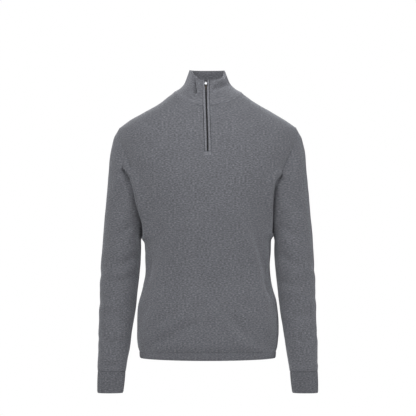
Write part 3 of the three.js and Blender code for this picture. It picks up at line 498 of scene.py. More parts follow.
# Middle of the sleeve and its mean radius by height: z, x, y, radius
SLEEVE_AXIS = [
    (-702, 243.8, -30, 32.5), (-650, 239.6, -23, 37), (-552, 231, -8, 43.5), (-446, 224.5, 5, 49.5),
    (-355, 217, 9, 54), (-215, 200, 5, 60), (-80, 190, 2, 60),
]


def sleeve_uv(grid, hand, middle_column):
    """Courses level round the sleeve and wales down it."""
    z = grid[..., 2]
    centre_x, centre_y, radius = (column_curve(SLEEVE_AXIS, column)(z) for column in (1, 2, 3))
    turn = np.arctan2(grid[..., 1] - centre_y, hand * grid[..., 0] - centre_x)
    turn = np.unwrap(turn, axis=1)
    turn -= 2 * math.pi * np.round(turn[:, middle_column] / (2 * math.pi))[:, None]
    way = np.sign(turn[:, -1] - turn[:, 0])
    turn = np.concatenate([turn, turn[:, :1] + way[:, None] * 2 * math.pi], axis=1)
    radius = np.concatenate([radius, radius[:, :1]], axis=1)
    z = np.concatenate([z, z[:, :1]], axis=1)
    return turn * radius, z * 1.03


# Meshes
def add_object(name, data):
    made = bpy.data.objects.new(name, data)
    bpy.context.scene.collection.objects.link(made)
    return made


def new_piece(name, mesh, material, body="garment"):
    piece = add_object(name, mesh)
    mesh.materials.clear()
    mesh.materials.append(material)
    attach(piece, body)
    return piece


def mesh_from(points, faces, uv=None):
    """points in mm; uv holds one pair for each corner of each face."""
    mesh = bpy.data.meshes.new("cloth")
    corners = faces.shape[1]
    mesh.vertices.add(len(points))
    mesh.vertices.foreach_set("co", (np.asarray(points, float) * MM).ravel())
    mesh.loops.add(faces.size)
    mesh.loops.foreach_set("vertex_index", faces.ravel().astype(np.int32))
    mesh.polygons.add(len(faces))
    mesh.polygons.foreach_set("loop_start", np.arange(0, faces.size, corners, dtype=np.int32))
    mesh.polygons.foreach_set("loop_total", np.full(len(faces), corners, dtype=np.int32))
    smooth_faces(mesh)
    if uv is not None:
        layer = mesh.uv_layers.new(name="knit")
        layer.data.foreach_set("uv", np.asarray(uv, float).ravel())
    mesh.update(calc_edges=True)
    mesh.validate()
    return mesh


def grid_mesh(grid, uv, ring=False, keep=None):
    rows, columns = grid.shape[:2]
    cells = columns if ring else columns - 1
    i, j = np.meshgrid(np.arange(rows - 1), np.arange(cells), indexing="ij")
    if keep is not None:
        chosen = keep[i, j]
        i, j = i[chosen], j[chosen]
    i, j = i.ravel(), j.ravel()
    low, high, after = i * columns, (i + 1) * columns, (j + 1) % columns
    faces = np.stack([low + j, low + after, high + after, high + j], 1)
    if uv is None:
        return mesh_from(grid.reshape(-1, 3), faces)
    corners = [np.stack([side[i, j], side[i, turn], side[i + 1, turn], side[i + 1, j]], 1)
               for side in uv for turn in [(j + 1) % side.shape[1]]]
    return mesh_from(grid.reshape(-1, 3), faces, np.stack(corners, -1))


def close_ends(mesh):
    """Fill the open ends of the tubes in a mesh."""
    work = bmesh.new()
    work.from_mesh(mesh)
    bmesh.ops.holes_fill(work, edges=[edge for edge in work.edges if edge.is_boundary], sides=0)
    bmesh.ops.recalc_face_normals(work, faces=work.faces)
    work.to_mesh(mesh)
    work.free()
    return mesh


def smooth_faces(mesh):
    mesh.polygons.foreach_set("use_smooth", np.ones(len(mesh.polygons), bool))


def thicken(piece, thickness, round_edge):
    """Give a single layer its thickness inwards and round its cut edges, as real mesh."""
    used = bmesh.new()
    used.from_mesh(piece.data)
    loose = [vertex for vertex in used.verts if not vertex.link_faces]
    bmesh.ops.delete(used, geom=loose, context="VERTS")
    used.to_mesh(piece.data)
    used.free()
    solid = piece.modifiers.new("thickness", "SOLIDIFY")
    solid.thickness = thickness * MM
    solid.offset = -1
    solid.use_even_offset = False
    if round_edge:
        bevel = piece.modifiers.new("edge", "BEVEL")
        bevel.width = round_edge * MM
        bevel.segments = 2
        bevel.limit_method = "ANGLE"
        bevel.angle_limit = math.radians(58)
        bevel.use_clamp_overlap = True
    bake_modifiers(piece)


def bake_modifiers(piece):
    graph = bpy.context.evaluated_depsgraph_get()
    made = bpy.data.meshes.new_from_object(piece.evaluated_get(graph), depsgraph=graph)
    materials = list(piece.data.materials)
    piece.modifiers.clear()
    piece.data = made
    made.materials.clear()
    for material in materials:
        made.materials.append(material)
    smooth_faces(made)


# Materials
def node_material(name):
    material = bpy.data.materials.new(name)
    material.use_nodes = True
    tree = material.node_tree
    tree.nodes.clear()
    out = tree.nodes.new("ShaderNodeOutputMaterial")
    shader = tree.nodes.new("ShaderNodeBsdfPrincipled")
    tree.links.new(shader.outputs[0], out.inputs[0])
    return material, tree, shader


def math_node(tree, operation, *values):
    node = tree.nodes.new("ShaderNodeMath")
    node.operation = operation
    for socket, value in zip(node.inputs, values):
        if isinstance(value, (int, float)):
            socket.default_value = value
        else:
            tree.links.new(value, socket)
    return node.outputs[0]


def scaled(tree, vector, scale, location=(0, 0, 0)):
    node = tree.nodes.new("ShaderNodeMapping")
    node.inputs["Scale"].default_value = scale
    node.inputs["Location"].default_value = location
    tree.links.new(vector, node.inputs["Vector"])
    return node.outputs[0]


def noise(tree, vector, detail=2.0, roughness=0.5):
    node = tree.nodes.new("ShaderNodeTexNoise")
    node.inputs["Scale"].default_value = 1.0
    node.inputs["Detail"].default_value = detail
    node.inputs["Roughness"].default_value = roughness
    tree.links.new(vector, node.inputs["Vector"])
    return node.outputs[0]


def ramp(tree, value, stops):
    node = tree.nodes.new("ShaderNodeValToRGB")
    elements = node.color_ramp.elements
    while len(elements) < len(stops):
        elements.new(0.5)
    for element, (place, colour) in zip(elements, stops):
        element.position = place
        element.color = (*colour, 1.0)
    tree.links.new(value, node.inputs[0])
    return node.outputs[0]


def shade(colour, factor):
    return tuple(channel * factor for channel in colour)


def knit_uv(tree):
    node = tree.nodes.new("ShaderNodeUVMap")
    node.uv_map = "knit"
    return node.outputs[0]


def object_point(tree):
    return tree.nodes.new("ShaderNodeTexCoord").outputs["Object"]


def split_xyz(tree, vector):
    node = tree.nodes.new("ShaderNodeSeparateXYZ")
    tree.links.new(vector, node.inputs[0])
    return node.outputs


def bump_normal(tree, shader, height, strength, distance):
    node = tree.nodes.new("ShaderNodeBump")
    node.inputs["Strength"].default_value = strength
    node.inputs["Distance"].default_value = distance * MM
    tree.links.new(height, node.inputs["Height"])
    tree.links.new(node.outputs[0], shader.inputs["Normal"])


# The melange: scale and place of each layer of noise, its detail and roughness, and its share of the tone
MELANGE = {
    "fibres": ((0.15, 0.85, 1), (0, 0, 0), 3.0, 0.6, 0.36),
    "flecks": ((0.19, 0.44, 1), (7.3, 2.1, 0), 1.0, 0.5, 0.58),
    "patches": ((0.02, 0.03, 1), (3.1, 9.4, 0), 2.0, 0.5, 0.06),
}
# Where on the noise each tone of yarn stands, and how far it is from the yarn's grey
YARN_TONES = [(0.34, -0.60), (0.47, -0.15), (0.54, 0.20), (0.66, 1.05)]
LOOP_LEAN, LOOP_FULLNESS = 1.1, 0.6


def knit_material(name, colour, stitch=(STITCH_WIDTH, COURSE_HEIGHT), depth=0.5, contrast=0.64):
    """Fine melange knit: fibres of light and dark yarn, loops in columns, and a soft fuzz."""
    material, tree, shader = node_material(name)
    calc = partial(math_node, tree)
    uv = knit_uv(tree)
    column, course, _ = split_xyz(tree, scaled(tree, uv, (1 / stitch[0], 1 / stitch[1], 1)))
    # Each loop is a V: two legs that lean away from the middle of its column
    lean = calc("ABSOLUTE", calc("SUBTRACT", calc("FRACT", column), 0.5))
    leg = calc("SINE", calc("MULTIPLY", lean, 2 * math.pi))
    climb = calc("ADD", course, calc("MULTIPLY", lean, -LOOP_LEAN))
    strand = calc("SINE", calc("MULTIPLY", calc("FRACT", climb), math.pi))
    loop = calc("MULTIPLY", leg, calc("POWER", strand, LOOP_FULLNESS))
    layers = [(noise(tree, scaled(tree, uv, scale, place), detail, roughness), share)
              for scale, place, detail, roughness, share in MELANGE.values()]
    fibres = layers[0][0]
    shares = [calc("MULTIPLY", *layer) for layer in layers]
    mixed = calc("ADD", calc("ADD", shares[0], shares[1]), shares[2])
    tone = ramp(tree, mixed, [(place, shade(colour, 1 + far * contrast)) for place, far in YARN_TONES])
    # Between the loops the yarn is in shade
    dim = tree.nodes.new("ShaderNodeVectorMath")
    dim.operation = "SCALE"
    tree.links.new(tone, dim.inputs[0])
    tree.links.new(calc("MULTIPLY_ADD", loop, 0.12, 0.9), dim.inputs["Scale"])
    tree.links.new(dim.outputs[0], shader.inputs["Base Color"])
    bump_normal(tree, shader, calc("ADD", loop, calc("MULTIPLY", fibres, 0.7)), 0.45, depth)
    tree.links.new(calc("MULTIPLY_ADD", fibres, 0.16, 0.84), shader.inputs["Roughness"])
    shader.inputs["Specular IOR Level"].default_value = 0.18
    shader.inputs["Sheen Weight"].default_value = 0.42
    shader.inputs["Sheen Roughness"].default_value = 0.45
    shader.inputs["Sheen Tint"].default_value = (0.78, 0.8, 0.86, 1.0)
    return material


TWILL_WIDTH = 0.45


def tape_material():
    """Woven polyester tape: fine diagonal twill."""
    material, tree, shader = node_material("tape weave")
    calc = partial(math_node, tree)
    uv = knit_uv(tree)
    across, along, _ = split_xyz(tree, scaled(tree, uv, (1 / TWILL_WIDTH, 1 / TWILL_WIDTH, 1)))
    twill = calc("SINE", calc("MULTIPLY", calc("ADD", across, along), math.pi))
    specks = noise(tree, scaled(tree, uv, (2.2, 2.2, 1)))
    value = calc("ADD", calc("MULTIPLY", twill, 0.14), specks)
    tree.links.new(ramp(tree, value, [(0.3, (0.012, 0.0122, 0.014)), (0.7, (0.03, 0.0305, 0.034))]),
                   shader.inputs["Base Color"])
    bump_normal(tree, shader, twill, 0.5, 0.15)
    tree.links.new(calc("MULTIPLY_ADD", specks, 0.2, 0.7), shader.inputs["Roughness"])
    shader.inputs["Sheen Weight"].default_value = 0.15
    return material


def nylon_material():
    material, tree, shader = node_material("nylon coil")
    grain = noise(tree, scaled(tree, object_point(tree), (900, 900, 900)))
    tree.links.new(ramp(tree, grain, [(0.3, (0.008, 0.008, 0.0095)), (0.7, (0.02, 0.02, 0.0225))]),
                   shader.inputs["Base Color"])
    tree.links.new(math_node(tree, "MULTIPLY_ADD", grain, 0.2, 0.28), shader.inputs["Roughness"])
    return material


def metal_material(name, dark, light, roughness):
    """Plated metal with a slightly cloudy finish and fine scratches."""
    material, tree, shader = node_material(name)
    calc = partial(math_node, tree)
    place = object_point(tree)
    cloud = noise(tree, scaled(tree, place, (420, 420, 420)), 3.0, 0.6)
    scratch = noise(tree, scaled(tree, place, (6000, 900, 500)))
    value = calc("ADD", calc("MULTIPLY", cloud, 0.75), calc("MULTIPLY", scratch, 0.25))
    tree.links.new(ramp(tree, value, [(0.32, dark), (0.68, light)]), shader.inputs["Base Color"])
    tree.links.new(calc("MULTIPLY_ADD", cloud, 0.22, roughness - 0.1), shader.inputs["Roughness"])
    bump_normal(tree, shader, scratch, 0.25, 0.03)
    shader.inputs["Metallic"].default_value = 1.0
    return material


GREY = (0.1370, 0.1400, 0.1550)
BODY_KNIT = knit_material("melange knit", GREY)
COLLAR_MATERIAL = knit_material("melange collar knit", shade(GREY, 1.06), (1.25, 0.95))
HEM_MATERIAL = knit_material("melange hem rib", shade(GREY, 0.99), (1.3, 1.0), 0.4, 0.62)
# The cuffs' knit is painted darker than the body's grey as painted shade, because the cuffs face down and get
# less light
CUFF_SHADED_MATERIAL = knit_material("melange cuff rib painted shade", shade(GREY, 0.92), (1.3, 1.0), 0.4, 0.7)
BINDING_MATERIAL = knit_material("melange binding", shade(GREY, 1.32), (1.3, 1.0), 0.4, 0.5)
TAPE = tape_material()
NYLON = nylon_material()
NICKEL = metal_material("nickel plate", (0.34, 0.345, 0.36), (0.58, 0.585, 0.6), 0.34)
GUNMETAL = metal_material("gunmetal plate", (0.016, 0.0145, 0.013), (0.05, 0.043, 0.036), 0.42)


# The body
def row_share(row):
    return 1 - np.clip(1 - row / ARMHOLE_ROWS, 0, 1) ** SHOULDER_ROUNDING


def neckline(angle, side):
    x = NECK_HALF_WIDTH * np.sin(angle)
    fall = np.clip(np.cos(angle), 0, 1) ** 1.5
    drop = -FRONT_NECK_DROP if side < 0 else BACK_NECK_RISE
    return x, NECK_SIDE_Z + drop * fall


def top_edge(u, side):
    neck_x, neck_z = neckline(np.clip(u / NECK_SHARE, 0, 1) * math.pi / 2, side)
    ridge_x = lerp(NECK_HALF_WIDTH, SHOULDER_X, np.clip((u - NECK_SHARE) / (1 - NECK_SHARE), 0, 1))
    on_neck = u <= NECK_SHARE
    return np.where(on_neck, neck_x, ridge_x), np.where(on_neck, neck_z, ridge_height(ridge_x))


def section_x(u, z):
    return half_width(z) * np.sin(u * math.pi / 2) ** (2 / ROUNDNESS)


def middle_height(v, side):
    slot = row_share(SLOT_ROW)
    top = float(neckline(0.0, side)[1])
    low = lerp(UNDERARM_Z, ZIP_BOTTOM_Z, v / slot)
    high = lerp(ZIP_BOTTOM_Z, top, (v - slot) / (1 - slot))
    return np.where(v <= slot, low, high)


def armhole(v, side):
    z = UNDERARM_Z + (SHOULDER_Z - UNDERARM_Z) * (1 - np.cos(v * math.pi)) / 2
    y = (ARMHOLE_FRONT_DEPTH if side < 0 else ARMHOLE_BACK_DEPTH) * np.sin(v * math.pi)
    return body_width_at(y, z, side), z


def upper_points(u, v, side):
    """Points above the underarm seen from the front, blended between the four edges there."""
    bottom_x = section_x(u, UNDERARM_Z)
    top_x, top_z = top_edge(u, side)
    middle_z = middle_height(v, side)
    out_x, out_z = armhole(v, side)
    neck_z = float(neckline(0.0, side)[1])
    x = (1 - v) * bottom_x + v * top_x + u * out_x
    x = x - u * (1 - v) * half_width(UNDERARM_Z) - u * v * SHOULDER_X
    z = (1 - v) * UNDERARM_Z + v * top_z + (1 - u) * middle_z + u * out_z
    z = z - (1 - v) * UNDERARM_Z - (1 - u) * v * neck_z - u * v * SHOULDER_Z
    return x, z


LOWER_ROWS = 10
PANEL_CELLS = 12
SLOT_U = 0.3 / PANEL_CELLS


def panel_grid(side, column_parts, row_parts):
    cells = fine(PANEL_CELLS, column_parts, crowd_end=True)
    half_u = cells[1:] / PANEL_CELLS
    near = np.array([0.5, 1.0, 1.07, 1.17, 1.32, 1.6, 2.0, 2.5]) * SLOT_U
    half_u = np.concatenate([near, half_u[half_u > near[-1] * 1.05]])
    u = np.concatenate([-half_u[::-1], [0.0], half_u])
    if side > 0:
        u = u[::-1]
    low = fine(LOWER_ROWS, row_parts, crowd_start=True)
    high = fine(ARMHOLE_ROWS, row_parts, crowd_end=True)
    rows = np.concatenate([low, LOWER_ROWS + high[1:]])
    a = np.abs(u)[None, :] * np.ones((len(rows), 1))
    r = rows[:, None] * np.ones((1, len(u)))
    z_low = lerp(BODY_HEM_Z, UNDERARM_Z, np.clip(r / LOWER_ROWS, 0, 1))
    v = row_share(np.clip(r - LOWER_ROWS, 0, ARMHOLE_ROWS))
    up_x, up_z = upper_points(a, v, side)
    is_low = r <= LOWER_ROWS
    x = np.where(is_low, section_x(a, z_low), up_x)
    z = np.where(is_low, z_low, up_z)
    # The column beside the slot stands straight
    first = 1 / PANEL_CELLS
    pull = np.where(a < SLOT_U, a / SLOT_U, np.clip((first - a) / (first - SLOT_U), 0, 1))
    if side < 0:
        x = x + pull * (SLOT_HALF - x[:, np.isclose(u, SLOT_U)])
    y = body_depth(x, z, side)
    on_side = np.isclose(a, 1) & is_low
    on_ridge = np.isclose(r, LOWER_ROWS + ARMHOLE_ROWS) & (a >= NECK_SHARE - 1e-6)
    y = np.where(on_side, side * SEAM_GAP / 2, np.where(on_ridge, side * CLOSE_GAP / 2, y))
    grid = np.stack([np.sign(u)[None, :] * x, y, z], axis=-1)
    return grid, u, rows


def build_panel(name, side):
    parts = 8
    grid, u, rows = panel_grid(side, parts, parts - 1)
    normals = grid_normals(grid)
    edge = np.abs(u)[None, :] * np.ones((len(rows), 1))
    on_ridge = (rows[:, None] > LOWER_ROWS + ARMHOLE_ROWS - 0.001) & (edge >= NECK_SHARE - 1e-6)
    at_seam = (edge > 0.999) | on_ridge
    normals[at_seam, 1] = 0
    normals = unit(normals)
    above = rows[:, None] > LOWER_ROWS
    fade = np.where(above, smooth(edge, 1.0, 0.93), 1.0)
    height = fold_field(grid, normals, "body") * fade * smooth(rows, 0, 0.5)[:, None]
    height += uneven_field(grid) * smooth(rows, 0, 1.5)[:, None]
    height += press_lips(grid, ("left", "right", "top", "bottom"), *SEAM_LIP)
    # The neck seam lies a little deeper than the others
    height += press_lips(grid, ("top",), 0.7, 1.9) * smooth(edge, NECK_SHARE - 0.02, NECK_SHARE - 0.1)
    face = grid + normals * height[..., None]
    slot = None
    if side < 0:
        middle = 0.5 * (u[:-1] + u[1:])
        row_middle = 0.5 * (rows[:-1] + rows[1:])
        inside = np.abs(middle)[None, :] < SLOT_U
        slot = ~(inside & (row_middle[:, None] > LOWER_ROWS + SLOT_ROW))
    mesh = grid_mesh(settle(face), panel_uv(grid, side), keep=slot)
    piece = new_piece(name, mesh, BODY_KNIT)
    thicken(piece, KNIT, KNIT_EDGE)
    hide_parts(name.replace("_panel", ""))
    return piece


# Sleeves and cuffs
def sleeve_ring(section, angles, hand):
    out_x, out_z, in_x, in_z, front, back, mid_y = section
    across = -signed_power(np.cos(angles), 0.9)
    depth = signed_power(np.sin(angles), 0.9)
    x = (out_x + in_x) / 2 + across * (out_x - in_x) / 2
    z = (out_z + in_z) / 2 + across * (out_z - in_z) / 2
    y = mid_y - depth * np.where(depth > 0, front, back)
    return np.stack([hand * x, y, z], axis=-1)


def tube_rows(sections, per_row):
    """Sections between those of a table, on smooth curves by their order."""
    count = len(sections)
    table = [(i, *section) for i, section in enumerate(sections)]
    at = np.linspace(0, count - 1, (count - 1) * per_row + 1)
    curves = [column_curve(table, column) for column in range(1, len(table[0]))]
    return [tuple(float(curve(t)) for curve in curves) for t in at]


def armhole_ring(hand, count):
    """The armhole's edge, from the underarm up the front and down the back."""
    v = row_share(np.linspace(0, ARMHOLE_ROWS, count // 2 + 1))
    ring = []
    for side, share in ((-1, v), (1, v[::-1][1:-1])):
        x, z = armhole(share, side)
        ring.append(np.stack([hand * x, body_depth(x, z, side), z], axis=-1))
    ring = np.concatenate(ring)
    ring[0, 1] = 0.0
    ring[count // 2, 1] = 0.0
    return ring


def sleeve_angles(count):
    """Angles whose spacing follows the armhole's rows near the shoulder."""
    half = np.linspace(0, math.pi, count // 2 + 1)
    return np.concatenate([half, 2 * math.pi - half[::-1][1:-1]])


# Where the rings of the turn at the armhole's seam stand, as shares of the way to the first section
SEAM_STEPS = (0.0, 0.05, 0.12, 0.25, 0.4, 0.6, 0.8)


def facing_out(grid, hand):
    """A mirrored ring of columns runs the other way round, so that its faces look out."""
    return grid if hand > 0 else np.concatenate([grid[:, :1], grid[:, 1:][:, ::-1]], axis=1)


def build_sleeve(name, hand):
    around = 168
    per_row = 10
    angles = sleeve_angles(around)
    first = armhole_ring(hand, around)
    rings = [sleeve_ring(section, angles, hand) for section in tube_rows(SLEEVE, per_row)]
    # From the seam the sleeve leaves the body in a short turn
    away = rings[0] - first
    outward = first + away * CLOSE_GAP / np.linalg.norm(away, axis=1, keepdims=True)
    rings[0] = lerp(rings[0], first, 0.12)
    lead = [lerp(outward, rings[0], t) for t in SEAM_STEPS]
    grid = facing_out(np.array(lead + rings)[::-1], hand)
    normals = grid_normals(grid, ring=True)
    far = np.linspace(1, 0, len(grid))[:, None]
    fade = smooth(far, 0.0, 0.02) * smooth(1 - far, 0.02, 0.08)
    height = fold_field(grid, normals, name) * fade
    height += uneven_field(grid) * smooth(far, 0, 0.05) * smooth(1 - far, 0.0, 0.06)
    height += press_lips(grid, ("bottom", "top"), *SEAM_LIP)
    face = grid + normals * height[..., None]
    mesh = grid_mesh(settle(face), sleeve_uv(grid, hand, around // 2), ring=True)
    piece = new_piece(name + "_knit", mesh, BODY_KNIT)
    thicken(piece, KNIT, KNIT_EDGE)
    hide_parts(name)
    return piece


def ribbed(columns, ribs):
    """Heights of the columns of a ring of narrow ribs, sunk between them."""
    phase = np.arange(columns) * ribs / columns * 2 * math.pi
    return RIB_HEIGHT * (signed_power(np.cos(phase), 0.7) - 1) / 2


def even_ring(ring, count):
    """The same closed line with its points evenly spaced."""
    closed = np.concatenate([ring, ring[:1]])
    steps = np.linalg.norm(np.diff(closed, axis=0), axis=1)
    place = np.concatenate([[0], np.cumsum(steps)])
    at = np.linspace(0, place[-1], count, endpoint=False)
    return np.stack([np.interp(at, place, closed[:, k]) for k in range(3)], axis=-1)


def build_cuff(name, hand):
    columns = CUFF_RIBS * 8
    rings = [even_ring(sleeve_ring(section, full_turn(360), hand), columns) for section in tube_rows(CUFF, 7)]
    grid = facing_out(np.array(rings)[::-1], hand)
    share = np.linspace(0, 1, len(grid))[:, None]
    ease = smooth(share, 0, 0.06) * smooth(1 - share, 0, 0.04)
    height = ribbed(columns, CUFF_RIBS)[None, :] * ease
    height = height - 1.2 * bump_at(share, 0.035) - 0.35 * bump_at(1 - share, 0.04)
    face = grid + grid_normals(grid, ring=True) * height[..., None]
    mesh = grid_mesh(face, arc_uv(grid, columns // 2, ring=True), ring=True)
    piece = new_piece(name + "_rib", mesh, CUFF_SHADED_MATERIAL)
    thicken(piece, BAND_CLOTH, CUFF_EDGE)
    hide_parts(name)
    return piece


def hem_ring(inset, z, lift, count):
    angle = full_turn(1440)
    across = signed_power(np.sin(angle), 2 / ROUNDNESS)
    along = signed_power(np.cos(angle), 2 / ROUNDNESS)
    depth = np.where(along > 0, front_depth(BODY_HEM_Z), back_depth(BODY_HEM_Z))
    x = across * (half_width(BODY_HEM_Z) - inset)
    ring = np.stack([x, -along * (depth - inset), z + lift * across**2], axis=-1)
    return even_ring(ring, count)


# The band from its turned edge up: how far in, height, how much of the side lift, and how raised the ribs
HEM_LEVELS = [
    (4.2, -673.0, 1.0, 0.1), (2.6, -672.6, 1.0, 0.5), (1.3, -671.0, 1.0, 0.9), (0.6, -668.5, 1.0, 1),
    (0.2, -665.0, 0.9, 1), (0.0, -661.0, 0.7, 1), (0.0, -657.0, 0.4, 1), (0.1, -654.4, 0.1, 0.7),
    (0.35, -653.1, 0.0, 0.2),
]


def build_hem_band():
    columns = HEM_RIBS * 6
    grid = np.array([hem_ring(inset, z, HEM_SIDE_LIFT * lift, columns) for inset, z, lift, _ in HEM_LEVELS])
    raised = np.array([level[3] for level in HEM_LEVELS])[:, None]
    height = ribbed(columns, HEM_RIBS)[None, :] * raised
    face = grid + grid_normals(grid, ring=True) * height[..., None]
    mesh = grid_mesh(face, arc_uv(grid, ring=True), ring=True)
    piece = new_piece("hem_rib", mesh, HEM_MATERIAL)
    thicken(piece, BAND_CLOTH, 0.0)
    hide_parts("hem_band")
    return piece


# The collar
def collar_rim(angle, hand):
    middle = (RIM_FRONT_Y + RIM_BACK_Y) / 2
    half = (RIM_BACK_Y - RIM_FRONT_Y) / 2
    y = middle - half * signed_power(np.cos(angle), 0.72)
    to_back = (y - RIM_FRONT_Y) / (2 * half)
    x = 0 * y
    z = 0 * y
    for side, (front_half, widen, rise_from, rise_to) in RIM_SIDES.items():
        wide = lerp(front_half, RIM_BACK_HALF, np.minimum(1, to_back * widen))
        here = hand == side
        x = np.where(here, side * wide * signed_power(np.sin(angle), 0.72), x)
        z = np.where(here, lerp(RIM_FRONT_Z, RIM_BACK_Z, smooth(to_back, rise_from, rise_to)), z)
    return x, y, z


front_lean = column_curve(COLLAR_PROFILE, 1)
side_lean = column_curve(COLLAR_PROFILE, 2)


def collar_lean(t, angle):
    """How far the collar has leaned in at a share of its height."""
    return lerp(front_lean(t), side_lean(t), np.abs(np.sin(angle)))


def collar_base(angle, hand):
    front_x, front_z = neckline(np.minimum(angle, math.pi / 2), -1)
    back_x, back_z = neckline(np.minimum(math.pi - angle, math.pi / 2), 1)
    ahead = angle <= math.pi / 2
    x = np.where(ahead, front_x, back_x)
    z = np.where(ahead, front_z, back_z)
    y = np.where(ahead, body_depth(front_x, front_z, -1), body_depth(back_x, back_z, 1))
    return hand * x, y, z + SEAM_GAP


SLOT_ANGLE = SLOT_U / NECK_SHARE * math.pi / 2


COLLAR_CELLS = 12
FIRST_CELL = math.pi / COLLAR_CELLS


def collar_angles(parts):
    near = np.linspace(SLOT_ANGLE, FIRST_CELL, parts + 1)
    rest = np.linspace(FIRST_CELL, math.pi, (COLLAR_CELLS - 1) * parts + 1)[1:]
    return np.concatenate([near, rest])


def collar_grid(parts, rows):
    half = collar_angles(parts)
    angle = np.concatenate([half, half[::-1][1:]])
    hand = np.concatenate([np.ones(len(half)), -np.ones(len(half) - 1)])
    base = np.stack(collar_base(angle, hand), axis=-1)
    rim = np.stack(collar_rim(angle, hand), axis=-1)
    pull = np.clip((FIRST_CELL - angle) / (FIRST_CELL - SLOT_ANGLE), 0, 1)
    for line in (base, rim):
        edge_x = abs(line[0, 0])
        line[:, 0] += hand * pull * (SLOT_HALF - edge_x)
    t = fine(rows, 5, crowd_start=True, crowd_end=True) / rows
    lean = collar_lean(t[:, None] + 0 * angle, angle[None, :])
    grid = base[None] + (rim - base)[None] * lean[..., None]
    grid[..., 2] = base[None, :, 2] + (rim - base)[None, :, 2] * t[:, None]
    return grid, angle, t


CORNER_ROOM, CORNER_TUCK, CORNER_BELOW_Z, CORNER_NEAR_Y = 1.2, 1.5, 9.0, 5.0


def keep_inside(piece, side_line):
    """Tuck the inner layer's corners at the neck's sides back inside the collar's side line."""
    co = np.empty(len(piece.data.vertices) * 3)
    piece.data.vertices.foreach_get("co", co)
    co = co.reshape(-1, 3) / MM
    limit = np.interp(co[:, 2], side_line[:, 2], np.abs(side_line[:, 0]))
    out = (np.abs(co[:, 0]) > limit + CORNER_ROOM) & (co[:, 2] > side_line[0, 2])
    out &= (co[:, 2] < CORNER_BELOW_Z) & (np.abs(co[:, 1]) < CORNER_NEAR_Y)
    co[out, 0] = np.sign(co[out, 0]) * (limit[out] - CORNER_TUCK)
    piece.data.vertices.foreach_set("co", (co * MM).ravel())
    piece.data.update()


def build_collar():
    grid, angle, t = collar_grid(14, 8)
    normals = grid_normals(grid)
    normals[:, [0, -1], 0] = 0
    normals = unit(normals)
    near_zip = smooth(angle, SLOT_ANGLE, SLOT_ANGLE + 0.12)[None, :]
    height = fold_field(grid, normals, "collar") * near_zip * smooth(t, 0.02, 0.3)[:, None]
    height += 0.5 * uneven_field(grid) * near_zip * smooth(t, 0, 0.2)[:, None]
    height += press_lips(grid, ("left", "right"), 0.5, 1.8)
    # The seam's allowance lies under the collar's foot and raises it along the seam
    height += 0.9 * bump_at(t - 0.075, 0.05)[:, None] * near_zip
    height += press_lips(grid, ("bottom",), 1.5, 1.7)
    # The rim rolls over a little
    height += 0.9 * bump_at(1 - t, 0.10)[:, None] * near_zip
    face = grid + normals * height[..., None]
    mesh = grid_mesh(settle(face), arc_uv(grid, len(angle) // 2))
    piece = new_piece("collar_knit", mesh, COLLAR_MATERIAL)
    thicken(piece, COLLAR_KNIT, COLLAR_EDGE)
    keep_inside(piece, grid[:, int(np.argmax(angle >= math.pi / 2))])
    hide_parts("collar")
    return piece


# The zip
def zip_profile():
    """Side view of the slot's edge from its foot to the rim: height against y."""
    z_body = np.linspace(-165, float(neckline(SLOT_ANGLE, -1)[1]), 60)
    y_body = body_depth(np.full_like(z_body, SLOT_HALF), z_body, -1)
    base = np.stack(collar_base(np.array([SLOT_ANGLE]), 1.0), -1)[0]
    rim = np.stack(collar_rim(np.array([SLOT_ANGLE]), 1.0), -1)[0]
    t = np.linspace(0, 1, 40)
    z_neck = lerp(base[2], rim[2], t)
    y_neck = lerp(base[1], rim[1], collar_lean(t, SLOT_ANGLE))
    z = np.concatenate([z_body[:-1], z_neck])
    y = np.concatenate([y_body[:-1], y_neck])
    return z, y


PROFILE_Z, PROFILE_Y = zip_profile()


def profile_y(z):
    return np.interp(z, PROFILE_Z, PROFILE_Y)


def profile_slope(z, reach):
    return (profile_y(z + reach) - profile_y(z - reach)) / (2 * reach)


def zip_point(z, x, out):
    """A point on the zip before the cloth settles: x across, out from the face of the knit."""
    slope = profile_slope(z, 2)
    length = np.hypot(1, slope)
    return np.stack([x + 0 * z, profile_y(z) - out / length, z + out * slope / length], axis=-1)


ZIP_FOOT = ZIP_BOTTOM_Z + SEAM_GAP
ZIP_HEAD = RIM_FRONT_Z


def welt_inner(z):
    return lerp(WELT_INNER, WELT_INNER_TOP, smooth(z, 16.0, 25.0))


def build_binding(name, hand):
    """A narrow tubular knit binding: a soft flattened roll from the slot's foot to the rim."""
    around = 20
    z = np.linspace(ZIP_FOOT, ZIP_HEAD, 300)
    angle = full_turn(around)
    inner = welt_inner(z)[:, None]
    half = (WELT_OUTER - inner) / 2
    # Fine ridges of the binding's own courses
    ripple = 0.1 * np.cos(z / 1.35 * 2 * math.pi)[:, None]
    x = (inner + WELT_OUTER) / 2 + (half - 0.05) * signed_power(np.cos(angle), 0.8)[None, :]
    half_out = (WELT_FRONT - WELT_BACK) / 2
    out = (WELT_BACK + WELT_FRONT) / 2 + (half_out + ripple) * signed_power(np.sin(angle), 0.62)[None, :]
    points = np.stack([zip_point(z, hand * x[:, k], out[:, k]) for k in range(around)], axis=1)
    points = settle(points[:, ::-1] if hand > 0 else points)
    mesh = close_ends(grid_mesh(points, arc_uv(points, ring=True), ring=True))
    smooth_faces(mesh)
    return new_piece(name, mesh, BINDING_MATERIAL)


def flat_on_zip(z, x, out):
    """A grid on the zip at one distance from the knit's face: a row for each z, x by row and column."""
    return settle(np.stack([zip_point(z, column, np.full(len(z), out)) for column in x.T], axis=1))


